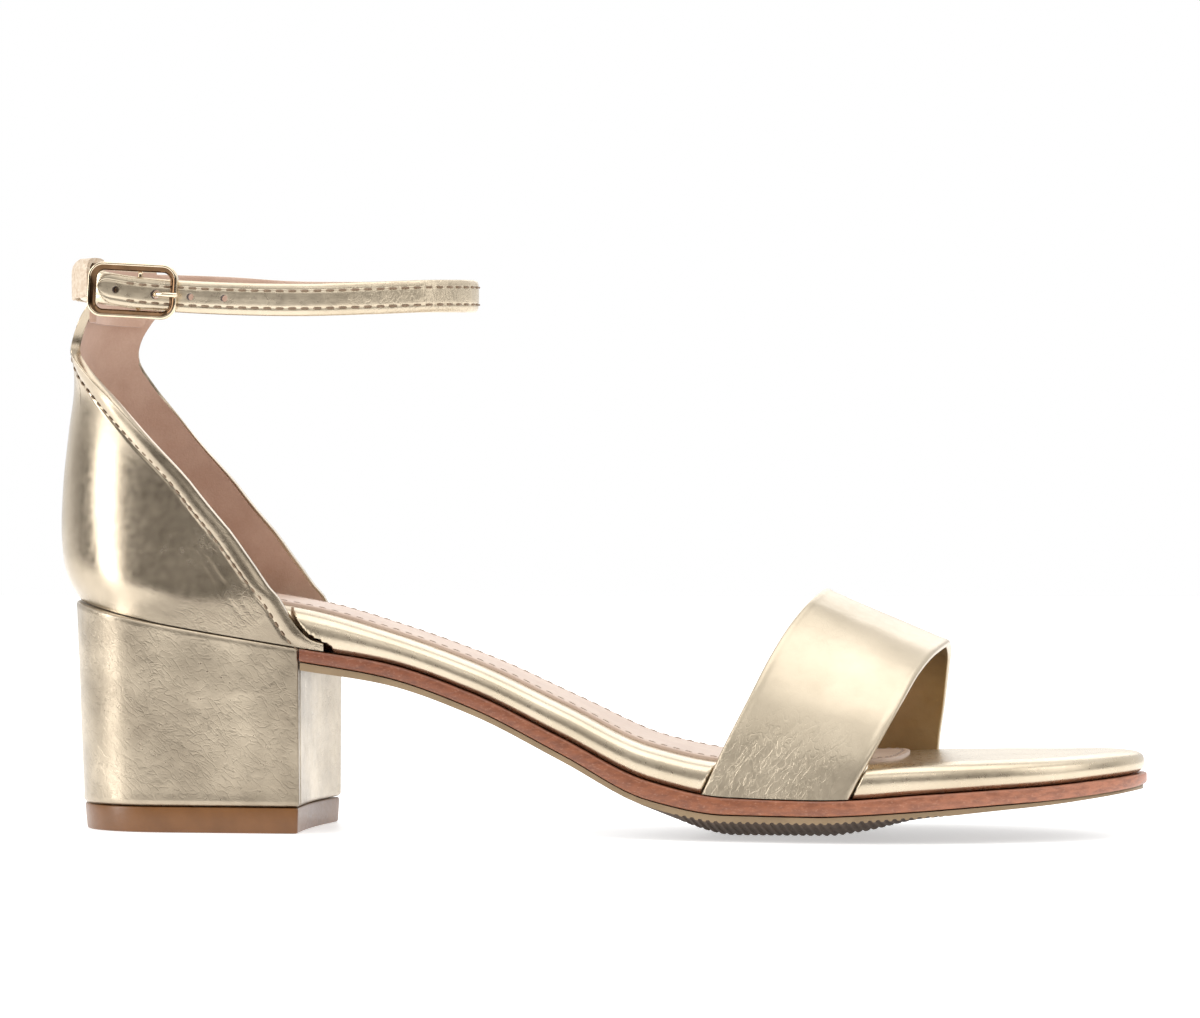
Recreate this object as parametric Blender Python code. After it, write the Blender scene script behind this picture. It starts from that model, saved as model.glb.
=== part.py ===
"""Ankle strap sandal on a covered block heel: the right shoe of a women's size 39, standing empty.

Sizes are in millimetres in a working frame: x forward from the back of the heel cup, y inward from the
centre line, so that the outer side is at -y, and z up from the floor. An empty carries the pieces and
sets the middle of the shoe's footprint at the origin. Meshes are stored in metres.
"""

import math
from collections import namedtuple

import bmesh
import bpy
import numpy as np
from mathutils import Vector

MM = 0.001
LENGTH = 246.0
FOOTPRINT_MIDDLE = (123.35, -1.05)
GAP = 0.3

# Sole and heel
BREAST_X = 61.0
BREAST_HOLLOW = 1.2
SOLE_START_X = BREAST_X + GAP
SOLE_STEPS = 34
TOP_PIECE_HEIGHT = 5.7
HEEL_BACK_FLOOR = 6.9
HEEL_BACK_SEAT = 5.0
HEEL_OUTER = (24.0, 25.0)
HEEL_INNER = (20.8, 22.0)
HEEL_CORNER = 24.0
HEEL_SQUARENESS = 0.9
HEEL_SIDE_XS = (56.0, 50.0, 44.0, 38.0, 32.0)
HEEL_CORNER_STEPS = 12
TREAD_INSET = 0.8
TREAD_FLAT_SHARE = 0.3

# Footbed and sock
RIM_INSET = 0.4
VAMP_RECESS = 2.5
RECESS_EDGE = (0.5, 1.3)
SOCK_FRONT_X = 198.0
SOCK_MARGIN = 5.5
SOCK_THICKNESS = 0.6

# Heel counter
COUNTER_WALL = 2.2
COUNTER_TAIL_WALL = 1.3
COUNTER_TOP_Z = 119.0
TAIL_STEP = 1.6
TAIL_STATIONS = np.arange(57.4, 69.0, 1.2)
NECK_COLUMNS = 6
EDGE_COLUMNS = 15
COUNTER_ROWS = 13

# Tunnel at the top of the counter
TUNNEL_TOP_Z = 128.0
FLAP_THICKNESS = 1.0
FLAP_BOTTOM_Z = 119.3
TUNNEL_TURN = 34.0
NECK_TURN = -38.0
TUNNEL_END_X = 13.6
TUNNEL_COLUMNS = 15

# Straps
VAMP_THICKNESS = 1.8
STRAP_WIDTH = 7.2
STRAP_THICKNESS = 1.8
STRAP_TIP_X = 18.6
HOLE_RADIUS = 0.8
PRONG_HOLE_RADIUS = 1.05
HOLE_XS = (19.8, 36.3, 43.9)
PRONG_HOLE_X = 28.6

# Buckle
BUCKLE_BACK_X = 15.5
BUCKLE_FRONT_X = 33.1
BAR_X = 24.3
BUCKLE_HEIGHT = 12.2
BUCKLE_CORNER = 2.8
BUCKLE_TILT = math.radians(-3.5)
RAIL_RADIUS = 0.75
RAIL_SECTION = [
    # away from the window and out, with a broad chamfer round the window
    (0.75, -0.5),
    (0.75, 0.4),
    (0.45, 0.72),
    (0.05, 0.7),
    (-1.0, -0.1),
    (-1.05, -0.5),
    (-0.9, -0.7),
    (0.55, -0.7),
]
BAR_RADIUS = 0.6
PRONG_RADIUS = 0.55

Section = namedtuple("Section", "x outer inner top rim edge side middle")
SOLE = [
    # place, half widths, heights of: footbed top, parting line, midsole, outsole side, outsole middle
    Section(0.0, 0.0, 0.0, 56.2, 52.9, 50.4, 48.4, 48.2),
    Section(12.0, 18.5, 17.5, 55.4, 49.9, 47.4, 45.4, 45.2),
    Section(25.0, 23.5, 22.0, 54.4, 47.0, 44.5, 42.5, 42.2),
    Section(40.0, 25.2, 23.0, 52.8, 44.3, 41.7, 39.7, 39.4),
    Section(61.0, 25.3, 22.5, 49.6, 40.9, 38.2, 36.2, 35.8),
    Section(80.0, 25.0, 19.5, 44.4, 37.8, 34.9, 33.2, 33.0),
    Section(100.0, 26.0, 17.5, 37.4, 31.2, 28.1, 26.5, 26.2),
    Section(120.0, 28.5, 18.0, 28.4, 21.8, 18.4, 16.8, 16.3),
    Section(140.0, 32.5, 22.5, 19.6, 12.6, 8.7, 7.1, 5.0),
    Section(157.0, 35.9, 28.5, 16.6, 9.4, 5.9, 4.0, 0.0),
    Section(177.0, 38.6, 34.9, 16.45, 9.05, 5.8, 4.0, 0.0),
    Section(184.0, 38.8, 36.1, 16.6, 9.25, 6.1, 4.4, 0.9),
    Section(198.0, 37.2, 36.6, 17.2, 10.3, 7.0, 5.4, 4.1),
    Section(214.0, 32.2, 34.4, 17.6, 11.3, 8.2, 6.9, 6.1),
    Section(226.0, 26.0, 30.0, 17.9, 12.0, 9.0, 8.0, 7.5),
    Section(236.0, 18.2, 23.2, 18.4, 12.9, 10.0, 9.2, 8.7),
    Section(243.0, 8.8, 14.6, 18.8, 13.5, 10.9, 10.1, 9.8),
    Section(246.0, -3.0, 3.0, 19.0, 13.8, 11.4, 10.5, 10.3),
]

Level = namedtuple("Level", "z back half reach turn")
CUP = [
    # height, back of the cup, half width, depth of its round back, turn of the section in degrees
    Level(40.0, 5.3, 24.2, 31.0, 0.0),
    Level(51.8, 5.2, 24.2, 31.0, 0.3),
    Level(54.0, 3.6, 24.0, 31.5, 0.4),
    Level(57.5, 1.9, 23.4, 32.5, 0.6),
    Level(62.0, 1.0, 22.6, 33.5, 0.9),
    Level(68.5, 0.65, 21.6, 34.5, 1.5),
    Level(77.0, 0.95, 20.3, 34.5, 2.5),
    Level(90.0, 2.6, 18.7, 30.0, 6.0),
    Level(97.0, 4.0, 18.8, 28.0, 9.0),
    Level(103.0, 5.1, 20.5, 26.0, 13.5),
    Level(108.0, 6.0, 23.0, 25.0, 18.0),
    Level(111.0, 6.9, 23.0, 25.0, 19.0),
    Level(115.0, 8.6, 23.0, 25.0, 20.0),
    Level(119.0, 10.6, 23.0, 25.0, 20.0),
    Level(131.0, 10.6, 23.0, 25.0, 20.0),
]

Edge = namedtuple("Edge", "z x")
TOPLINE = [
    # the counter's cut edge from its neck down to its tails, half way between the two sides
    Edge(119.0, 16.5),
    Edge(115.0, 13.4),
    Edge(111.0, 11.2),
    Edge(107.0, 10.4),
    Edge(103.0, 13.2),
    Edge(97.0, 18.6),
    Edge(90.0, 25.3),
    Edge(77.0, 36.5),
    Edge(61.0, 49.6),
    Edge(53.0, 55.4),
    Edge(47.0, 59.4),
    Edge(44.2, 61.6),
    Edge(42.5, 63.8),
    Edge(41.7, 66.5),
]

Fold = namedtuple("Fold", "turn rear_x rear_y rear_z front_x front_y front_z")
VAMP = [
    # the toe band's two edges, from its outer end over the instep to its inner end
    Fold(0, 152.0, -34.6, 10.2, 183.2, -38.4, 9.6),
    Fold(12, 156.8, -33.9, 20.7, 187.4, -37.4, 17.6),
    Fold(25, 161.5, -31.2, 30.3, 191.1, -34.5, 24.8),
    Fold(40, 165.9, -25.8, 39.7, 194.7, -28.7, 31.8),
    Fold(55, 169.8, -18.2, 46.9, 197.5, -20.5, 37.2),
    Fold(70, 173.2, -8.6, 51.8, 200.2, -10.0, 40.9),
    Fold(90, 175.2, 6.0, 54.2, 202.1, 7.0, 42.7),
    Fold(110, 174.9, 17.0, 51.6, 201.9, 18.5, 40.9),
    Fold(130, 173.4, 24.6, 45.0, 200.8, 27.0, 35.7),
    Fold(150, 170.8, 29.2, 34.0, 199.4, 33.0, 27.5),
    Fold(168, 167.4, 31.2, 20.5, 198.0, 35.8, 18.0),
    Fold(180, 165.5, 31.2, 9.7, 197.7, 36.3, 10.7),
]

Rim = namedtuple("Rim", "rise inset tuck tail")
FOOTBED_RIM = [
    # share of the height, how far the side is moved in, how much further inside the counter, and the
    # x where it comes out in front of the counter's sloping edge
    Rim(0.0, 1.4, 2.2, 67.4),
    Rim(0.14, 0.5, 1.8, 67.0),
    Rim(0.4, 0.1, 1.0, 61.8),
    Rim(0.68, 0.4, 0.2, 59.5),
    Rim(0.88, 1.7, 0.0, 58.3),
    Rim(1.0, 4.4, 0.0, 57.6),
]

BandEnd = namedtuple("BandEnd", "side rear rear_lean front front_lean")
BAND_ENDS = [
    # the toe band's edges beside the footbed, and how far they lean forward over its height
    BandEnd(-1, VAMP[0].rear_x, 3.0, VAMP[0].front_x, 3.6),
    BandEnd(1, VAMP[-1].rear_x, 1.3, VAMP[-1].front_x, 0.3),
]

Stop = namedtuple("Stop", "x y z")
ANKLE_LOOP = [
    # the free part of the ankle strap's middle line, from the tunnel's outer end round the front
    Stop(15.4, -21.1, 121.4),
    Stop(25.0, -22.1, 119.7),
    Stop(42.0, -22.6, 118.5),
    Stop(60.0, -22.0, 118.0),
    Stop(76.0, -19.6, 118.4),
    Stop(88.0, -14.0, 119.1),
    Stop(94.4, -6.0, 119.6),
    Stop(95.9, 1.5, 120.0),
    Stop(93.0, 9.0, 120.4),
    Stop(84.0, 15.5, 120.9),
    Stop(68.0, 19.4, 121.2),
    Stop(50.0, 20.6, 121.6),
    Stop(35.0, 18.8, 122.6),
]
TUNNEL_STRAP_Z = ((40.0, 122.9), (20.0, 122.8), (0.0, 122.8), (-20.0, 122.7), (-40.0, 122.5))

Lift = namedtuple("Lift", "x out")
OVERLAP = [
    # how far the holed end stands out from the strap's middle line as it runs back through the buckle
    Lift(12.0, 2.3),
    Lift(19.5, 2.25),
    Lift(BAR_X, 1.9),
    Lift(28.8, 1.3),
    Lift(BUCKLE_FRONT_X, 0.75),
    Lift(39.0, 0.2),
    Lift(44.0, 0.0),
]


def column(rows, name):
    return [getattr(row, name) for row in rows]


def smooth(keys, values, at):
    """A smooth curve through the points that never swings past them (a monotone cubic)."""
    keys, values = np.asarray(keys, float), np.asarray(values, float)
    step = np.diff(keys)
    rise = np.diff(values) / step
    slope = np.concatenate([rise[:1], np.zeros(len(rise) - 1), rise[-1:]])
    for i in range(1, len(rise)):
        if rise[i - 1] * rise[i] > 0:
            before, after = 2 * step[i] + step[i - 1], step[i] + 2 * step[i - 1]
            slope[i] = (before + after) / (before / rise[i - 1] + after / rise[i])
    at = np.clip(at, keys[0], keys[-1])
    i = np.clip(np.searchsorted(keys, at) - 1, 0, len(step) - 1)
    t = (at - keys[i]) / step[i]
    return (
        values[i] * (1 + 2 * t) * (1 - t) ** 2
        + step[i] * slope[i] * t * (1 - t) ** 2
        + values[i + 1] * t * t * (3 - 2 * t)
        - step[i] * slope[i + 1] * t * t * (1 - t)
    )


def ease(start, end, at):
    """0 before the start, 1 after the end, and a soft step between them."""
    t = np.clip((at - start) / (end - start), 0.0, 1.0)
    return t * t * (3 - 2 * t)


def closed_spline(points, count):
    """Evenly spread points on a smooth closed curve through the given ones."""
    points = np.asarray(points, float)
    n = len(points)
    fine = []
    for i in range(n):
        before, here, there, after = (points[(i + k) % n] for k in (-1, 0, 1, 2))
        for t in np.linspace(0, 1, 24, endpoint=False):
            fine.append(
                here
                + 0.5 * t * (there - before)
                + t * t * (before - 2.5 * here + 2 * there - 0.5 * after)
                + t**3 * (1.5 * here - 1.5 * there + 0.5 * after - 0.5 * before)
            )
    fine = np.array(fine + fine[:1])
    run = np.concatenate([[0], np.cumsum(np.linalg.norm(np.diff(fine, axis=0), axis=1))])
    at = np.linspace(0, run[-1], count, endpoint=False)
    return np.stack([np.interp(at, run, fine[:, k]) for k in range(3)], axis=1)


# Materials


def material(name, colour, roughness, metallic=0.0):
    made = bpy.data.materials.new(name)
    made.use_nodes = True
    shader = made.node_tree.nodes["Principled BSDF"]
    shader.inputs["Base Color"].default_value = (*colour, 1.0)
    shader.inputs["Roughness"].default_value = roughness
    shader.inputs["Metallic"].default_value = metallic
    made.diffuse_color = (*colour, 1.0)
    return made


# Meshes


def add_piece(name, points, faces, finish, parent):
    """One named object from points in millimetres, with its faces turned outward."""
    mesh = bpy.data.meshes.new(name)
    mesh.from_pydata([tuple(point * MM) for point in np.asarray(points, float)], [], faces)
    work = bmesh.new()
    work.from_mesh(mesh)
    bmesh.ops.recalc_face_normals(work, faces=work.faces)
    work.to_mesh(mesh)
    work.free()
    mesh.shade_smooth()
    mesh.set_sharp_from_angle(angle=math.radians(40))
    piece = bpy.data.objects.new(name, mesh)
    bpy.context.scene.collection.objects.link(piece)
    piece.parent = parent
    if finish is not None:
        mesh.materials.append(finish)
    return piece


def skin(rings, closed=False, cap=None):
    """Points and faces of a surface through rings of equal length, capped at its two ends."""
    rings = np.asarray(rings, float)
    count, size = rings.shape[:2]
    faces = []
    for i in range(count if closed else count - 1):
        here, there = i * size, (i + 1) % count * size
        for j in range(size):
            k = (j + 1) % size
            faces.append((here + j, here + k, there + k, there + j))
    if not closed:
        last = (count - 1) * size
        faces += [tuple(reversed(face)) for face in cap(rings[0])]
        faces += [tuple(last + j for j in face) for face in cap(rings[-1])]
    return rings.reshape(-1, 3), faces


def strip_cap(ring):
    """Faces that join each point of a ring to the one across from it."""
    size = len(ring)
    steps = size // 2
    faces = []
    for i in range(steps):
        corners = (i, i + 1, 2 * steps - i - 1, (2 * steps - i) % size)
        faces.append(tuple(dict.fromkeys(corners)))
    return [face for face in faces if len(face) > 2]


def flat_cap(ring):
    return [tuple(range(len(ring)))]


def sweep(path, profile, outward, up):
    """Rings of a profile of (out, up) points carried along a path."""
    rings = []
    for point, out_axis, up_axis in zip(path, outward, up):
        rings.append([point + a * out_axis + b * up_axis for a, b in profile])
    return np.array(rings)


def rod(points, radius, sides):
    """Rings of a round rod along the points."""
    points = np.asarray(points, float)
    tangents = np.gradient(points, axis=0)
    tangents /= np.linalg.norm(tangents, axis=1)[:, None]
    seed = Vector((0.0, 0.0, 1.0)) if abs(tangents[0][2]) < 0.9 else Vector((1.0, 0.0, 0.0))
    across = Vector(tangents[0]).cross(seed).normalized()
    rings = []
    for point, tangent in zip(points, tangents):
        tangent = Vector(tangent)
        across = (across - tangent * across.dot(tangent)).normalized()
        over = tangent.cross(across)
        turns = [2 * math.pi * k / sides for k in range(sides)]
        rings.append([Vector(point) + radius * (math.cos(a) * across + math.sin(a) * over) for a in turns])
    return np.array(rings)


def with_boolean(piece, other, operation):
    """Joins or cuts a piece with a helper that is left out of the shoe."""
    other.hide_render = True
    other.display_type = "WIRE"
    step = piece.modifiers.new(operation.title(), "BOOLEAN")
    step.operation = operation
    step.object = other


# The sole's plan and heights


def height(name):
    """A sole height as a function of x."""
    return lambda x: smooth(column(SOLE, "x"), column(SOLE, name), x)


def turn_of(x):
    """The place along the sole as an angle, in which the rounded ends are smooth."""
    return np.arccos(np.clip(1 - 2 * np.asarray(x) / LENGTH, -1, 1))


def sole_half(side):
    """Half width of the sole on one side, as a function of x."""
    keys = turn_of(column(SOLE, "x"))
    return lambda x: smooth(keys, column(SOLE, side), turn_of(x))


def stations(start, end, extra=()):
    spread = 0.5 * (1 - np.cos(np.linspace(0, math.pi, SOLE_STEPS + 1)))
    return np.array(sorted({*(start + (end - start) * spread), *extra}))


def plan_ring(xs, outer, inner, inset, z, butt=False):
    """A ring at the plan outline, moved in by the inset: the outer side forward, then the inner side back."""
    back = xs[-2::-1] if butt else xs[-2:0:-1]
    plan = np.array([(x, -outer(x)) for x in xs] + [(x, inner(x)) for x in back])
    along = np.roll(plan, -1, axis=0) - np.roll(plan, 1, axis=0)
    if butt:
        along[0] = plan[1] - plan[0]
        along[-1] = plan[-1] - plan[-2]
    along /= np.linalg.norm(along, axis=1)[:, None]
    inward = np.stack([-along[:, 1], along[:, 0]], axis=1)
    moved = plan + inward * (inset(plan) if callable(inset) else inset)
    if butt:
        moved[:, 0] = np.maximum(moved[:, 0], xs[0])
        moved[[0, -1], 0] = xs[0]
    return np.column_stack([moved, [z(x) for x in moved[:, 0]]])


def sole_layer(name, levels, finish, parent):
    """A layer of the sole in front of the heel, from rings of (inset, height)."""
    xs = stations(SOLE_START_X, LENGTH)
    outer, inner = sole_half("outer"), sole_half("inner")
    rings = [plan_ring(xs, outer, inner, inset, z, butt=True) for inset, z in levels]
    return add_piece(name, *skin(rings, cap=strip_cap), finish, parent)


def add_outsole(finish, parent):
    """The rubber, whose underside domes down from its edge to a flat middle."""
    xs = stations(SOLE_START_X, LENGTH)
    outer, inner = sole_half("outer"), sole_half("inner")
    top, side, middle = height("edge"), height("side"), height("middle")
    edge = plan_ring(xs, outer, inner, TREAD_INSET, side, butt=True)
    centre = np.array([(x, 0.5 * (inner(x) - outer(x))) for x in edge[:, 0]])
    rings = []
    for share in (TREAD_FLAT_SHARE, 0.48, 0.66, 0.82, 0.94):
        rise = ((share - TREAD_FLAT_SHARE) / (1 - TREAD_FLAT_SHARE)) ** 1.25
        ring = edge.copy()
        ring[:, 0] = SOLE_START_X + (edge[:, 0] - SOLE_START_X) * (0.95 + 0.05 * share)
        ring[:, 1] = centre[:, 1] + (edge[:, 1] - centre[:, 1]) * share
        ring[:, 2] = [middle(x) + (side(x) - middle(x)) * rise for x in ring[:, 0]]
        rings.append(ring)
    over = plan_ring(xs, outer, inner, TREAD_INSET, lambda x: top(x) - GAP, butt=True)
    return add_piece("outsole", *skin([*rings, edge, over], cap=strip_cap), finish, parent)


def add_midsole(finish, parent):
    top, bottom = height("rim"), height("edge")
    levels = [
        (0.5, bottom),
        (0.0, lambda x: bottom(x) + 0.5),
        (0.0, lambda x: top(x) - 0.4),
        (0.4, top),
    ]
    return sole_layer("midsole", levels, finish, parent)


# The block heel


def heel_ring(rise, inset, z):
    """The block heel's plan at a share of its height: outer side, round back, inner side, hollow breast."""
    back = HEEL_BACK_FLOOR + (HEEL_BACK_SEAT - HEEL_BACK_FLOOR) * rise + inset
    half = [low + (high - low) * rise - inset for low, high in (HEEL_OUTER, HEEL_INNER)]
    front = BREAST_X - inset
    sides = []
    for sign, width in ((-1, half[0]), (1, half[1])):
        side = [(x, sign * width) for x in (front, *HEEL_SIDE_XS)]
        for turn in np.linspace(90, 0, HEEL_CORNER_STEPS):
            a = math.radians(turn)
            x = back + HEEL_CORNER * (1 - math.cos(a) ** HEEL_SQUARENESS)
            side.append((x, sign * width * math.sin(a) ** HEEL_SQUARENESS))
        sides.append(side)
    breast = []
    for share in (0.2, 0.4, 0.6, 0.8):
        y = half[1] - share * (half[0] + half[1])
        breast.append((front - BREAST_HOLLOW * math.sin(math.pi * share), y))
    plan = sides[0] + sides[1][-2::-1] + breast
    return [(x, y, z(x)) for x, y in plan]


def heel_cap(ring):
    """Strips across the heel, and one face behind its hollow breast."""
    pairs = len(HEEL_SIDE_XS) + HEEL_CORNER_STEPS
    faces = []
    for k in range(pairs):
        corners = (k, k + 1, 2 * pairs - k - 1, 2 * pairs - k)
        faces.append(tuple(dict.fromkeys(corners)))
    return faces + [(0, *range(2 * pairs, len(ring)))]


def add_heel_block(finish, parent):
    seat = height("rim")
    low = TOP_PIECE_HEIGHT + GAP
    rings = [
        heel_ring(0.12, 0.0, lambda x: low),
        heel_ring(0.5, 0.0, lambda x: 0.5 * (low + seat(x))),
        heel_ring(0.98, 0.0, lambda x: seat(x) - 0.8),
        heel_ring(1.0, 0.5, seat),
    ]
    return add_piece("heel_block", *skin(rings, cap=heel_cap), finish, parent)


def add_top_piece(finish, parent):
    rings = [
        heel_ring(0.0, 0.9, lambda x: 0.0),
        heel_ring(0.0, 0.5, lambda x: 0.5),
        heel_ring(0.1, 0.3, lambda x: TOP_PIECE_HEIGHT),
    ]
    return add_piece("heel_top_piece", *skin(rings, cap=heel_cap), finish, parent)


# The heel counter


def level(name, z):
    return smooth(column(CUP, "z"), column(CUP, name), z)


def cup_half(x, z, inset):
    """Half width of the counter's surface at x and height z, moved in by the inset."""
    forward = x - level("back", z) - inset
    reach, half = level("reach", z) - inset, level("half", z) - inset
    share = np.clip(1 - forward / reach, 0, 1)
    return half * math.sqrt(1 - share * share)


def cup_turn(x, z):
    """The angle round the cup at which its surface reaches x."""
    forward = x - level("back", z)
    reach = level("reach", z)
    if forward < reach:
        return math.acos(1 - max(forward, 0.0) / reach)
    return math.pi / 2 + (forward - reach) / reach


def cup_point(turn, z, out=0.0):
    """A point of the counter's outer surface: the turn is 0 at the back and negative on the outer side."""
    back, half, reach, twist = (level(name, z) for name in ("back", "half", "reach", "turn"))
    a = abs(turn)
    if a < math.pi / 2:
        forward, sideways = reach * (1 - math.cos(a)), half * math.sin(a)
        normal = (-math.cos(a), math.sin(a))
    else:
        forward, sideways = reach * (1 + a - math.pi / 2), half
        normal = (0.0, 1.0)
    sign = -1.0 if turn < 0 else 1.0
    x = forward + out * normal[0]
    y = sign * (sideways + out * normal[1])
    c, s = math.cos(math.radians(twist)), math.sin(math.radians(twist))
    return np.array([back + x * c + y * s, y * c - x * s, z])


def counter_edge():
    """(turn, z) of the counter's cut edge on one side, a row for each column from the back to the tail."""
    neck = cup_turn(TOPLINE[0].x, COUNTER_TOP_Z)
    rows = [(neck * k / NECK_COLUMNS, COUNTER_TOP_Z) for k in range(NECK_COLUMNS)]
    run = np.linspace(0, 1, len(TOPLINE))
    for at in np.linspace(0, 1, EDGE_COLUMNS + 1):
        z = smooth(run, column(TOPLINE, "z"), at)
        x = np.interp(at, run, column(TOPLINE, "x"))
        rows.append((cup_turn(x, z), z))
    return rows


def seat_height(turn):
    """Height of the parting line below a turn of the cup, found by stepping to it."""
    seat = height("rim")
    z = 45.0
    for _ in range(12):
        z = float(seat(cup_point(turn, z)[0]))
    return z + GAP


def add_counter(finish, parent):
    edge = counter_edge()
    last = len(edge) - 1
    tail_turn = edge[-1][0]
    loops = []
    for k in range(-last, last + 1):
        share = abs(k) / last
        sign = -1.0 if k < 0 else 1.0
        low_turn = sign * tail_turn * share
        low_z = seat_height(low_turn)
        high_turn, high_z = sign * edge[abs(k)][0], edge[abs(k)][1]
        high_z = max(high_z, low_z + 0.8)
        wall = COUNTER_WALL + (COUNTER_TAIL_WALL - COUNTER_WALL) * ease(0.8, 1.0, share)
        steps = np.linspace(0, 1, COUNTER_ROWS) ** 1.25
        rise = [(low_turn + (high_turn - low_turn) * t, low_z + (high_z - low_z) * t) for t in steps]
        outside = [cup_point(turn, z) for turn, z in rise]
        inside = [cup_point(turn, z, -wall) for turn, z in rise]
        crown = [cup_point(high_turn, high_z, -0.5 * wall) + (0.0, 0.0, 0.3)]
        loops.append(outside + crown + inside[::-1])
    counter = add_piece("heel_counter", *skin(loops, cap=flat_cap), finish, parent)
    with_boolean(counter, add_tunnel(parent), "UNION")
    return counter


def add_tunnel(parent):
    """The neck's fold over the ankle strap: up inside the strap, over it, and down outside as a free flap."""
    lie = 0.5 * STRAP_THICKNESS + GAP + 0.1
    slot = STRAP_THICKNESS + 2 * GAP + 0.2
    inside, outside = -COUNTER_WALL + 0.15, slot + FLAP_THICKNESS
    path = strap_path()
    ways = strap_frames(path)

    def nearest(turn):
        point = cup_point(math.radians(turn), COUNTER_TOP_Z, lie)
        return int(np.argmin(np.linalg.norm(path[:, :2] - point[:2], axis=1)))

    first, neck_end = nearest(TUNNEL_TURN), nearest(NECK_TURN)
    last = max(i for i in range(neck_end, len(path)) if path[i, 0] < TUNNEL_END_X)
    rings = []
    for i in np.linspace(first, last, TUNNEL_COLUMNS).astype(int):
        foot = COUNTER_TOP_Z - 5.0 if i < neck_end else FLAP_BOTTOM_Z
        step = max(foot, COUNTER_TOP_Z) + 0.3
        profile = [
            (-0.3, foot),
            (-0.1, step),
            (-0.1, TUNNEL_TOP_Z - 2.1),
            (0.5, TUNNEL_TOP_Z - 1.2),
            (slot - 0.6, TUNNEL_TOP_Z - 1.2),
            (slot, TUNNEL_TOP_Z - 2.1),
            (slot, FLAP_BOTTOM_Z),
            (outside, FLAP_BOTTOM_Z),
            (outside, TUNNEL_TOP_Z - 2.6),
            (outside - 0.8, TUNNEL_TOP_Z - 0.6),
            (outside - 2.2, TUNNEL_TOP_Z),
            (inside + 1.2, TUNNEL_TOP_Z),
            (inside, TUNNEL_TOP_Z - 1.5),
            (inside, step),
            (-COUNTER_WALL + 0.4, foot),
        ]
        place = (path[i, 0], path[i, 1], 0.0)
        rings.append([place + (out - lie) * ways[i] + (0.0, 0.0, z) for out, z in profile])
    return add_piece("tunnel_fold", *skin(rings, cap=flat_cap), None, parent)


# The footbed and its sock


def cup_floor_half():
    """Half width of the counter's inside at the footbed's top, with room for the footbed."""
    top = height("top")
    return lambda x: cup_half(x, top(x), COUNTER_WALL + 2 * GAP)


def vamp_recess(plan, rise):
    """How far the footbed's side is let in where the toe band passes down beside it, at a share of its height."""
    depth = np.zeros(len(plan))
    near, far = RECESS_EDGE
    for end in BAND_ENDS:
        rear, front = end.rear + end.rear_lean * rise, end.front + end.front_lean * rise
        here = ease(rear - far, rear - near, plan[:, 0]) * (1 - ease(front + near, front + far, plan[:, 0]))
        depth += VAMP_RECESS * here * (plan[:, 1] * end.side > 0)
    return depth[:, None]


def recess_stations():
    """Places along the sole where the recesses begin and end, at the foot and the top of the footbed."""
    near, far = RECESS_EDGE
    places = []
    for end in BAND_ENDS:
        for share in (0.0, 0.4, 0.7, 1.0):
            rear, front = end.rear + end.rear_lean * share, end.front + end.front_lean * share
            places += [rear - far, rear - near, front + near, front + far]
    return places


def add_footbed(finish, parent):
    start = level("back", 54.5) + COUNTER_WALL + 2 * GAP
    xs = stations(start, LENGTH, (*recess_stations(), *TAIL_STATIONS))
    top, parting = height("top"), height("rim")

    def low(x):
        return parting(x) + GAP + 1.6 * (1 - ease(4.0, 18.0, x))

    around = np.array([*xs, *xs[-2:0:-1]])
    in_cup, outer, inner = cup_floor_half(), sole_half("outer"), sole_half("inner")

    def rim_ring(rim):
        def z(x):
            return low(x) + (top(x) - low(x)) * rim.rise

        def free_inset(plan):
            return RIM_INSET + rim.inset + vamp_recess(plan, rim.rise)

        heel = plan_ring(xs, in_cup, in_cup, rim.inset + rim.tuck, z)
        free = plan_ring(xs, outer, inner, free_inset, z)
        share = ease(rim.tail, rim.tail + TAIL_STEP, around)[:, None]
        return heel + (free - heel) * share

    rings = [rim_ring(rim) for rim in FOOTBED_RIM]
    return add_piece("footbed", *skin(rings, cap=strip_cap), finish, parent)


def add_sock(finish, parent):
    top, in_cup = height("top"), cup_floor_half()
    start = level("back", 56.0) + COUNTER_WALL + 2 * GAP
    xs = stations(start, SOCK_FRONT_X)

    def half(side):
        sole = sole_half(side)

        def width(x):
            heel, free = in_cup(x), sole(x) - RIM_INSET - SOCK_MARGIN
            share = max((x - 150.0) / (SOCK_FRONT_X - 150.0), 0.0)
            return (heel + (free - heel) * ease(45.0, 72.0, x)) * max(1 - share**7, 0.0) ** (1 / 4)

        return width

    rings = [
        plan_ring(xs, half("outer"), half("inner"), inset, lambda x, rise=rise: top(x) + rise)
        for inset, rise in ((4.6, GAP), (4.6, GAP + SOCK_THICKNESS))
    ]
    return add_piece("sock", *skin(rings, cap=strip_cap), finish, parent)


# The toe band


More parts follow.
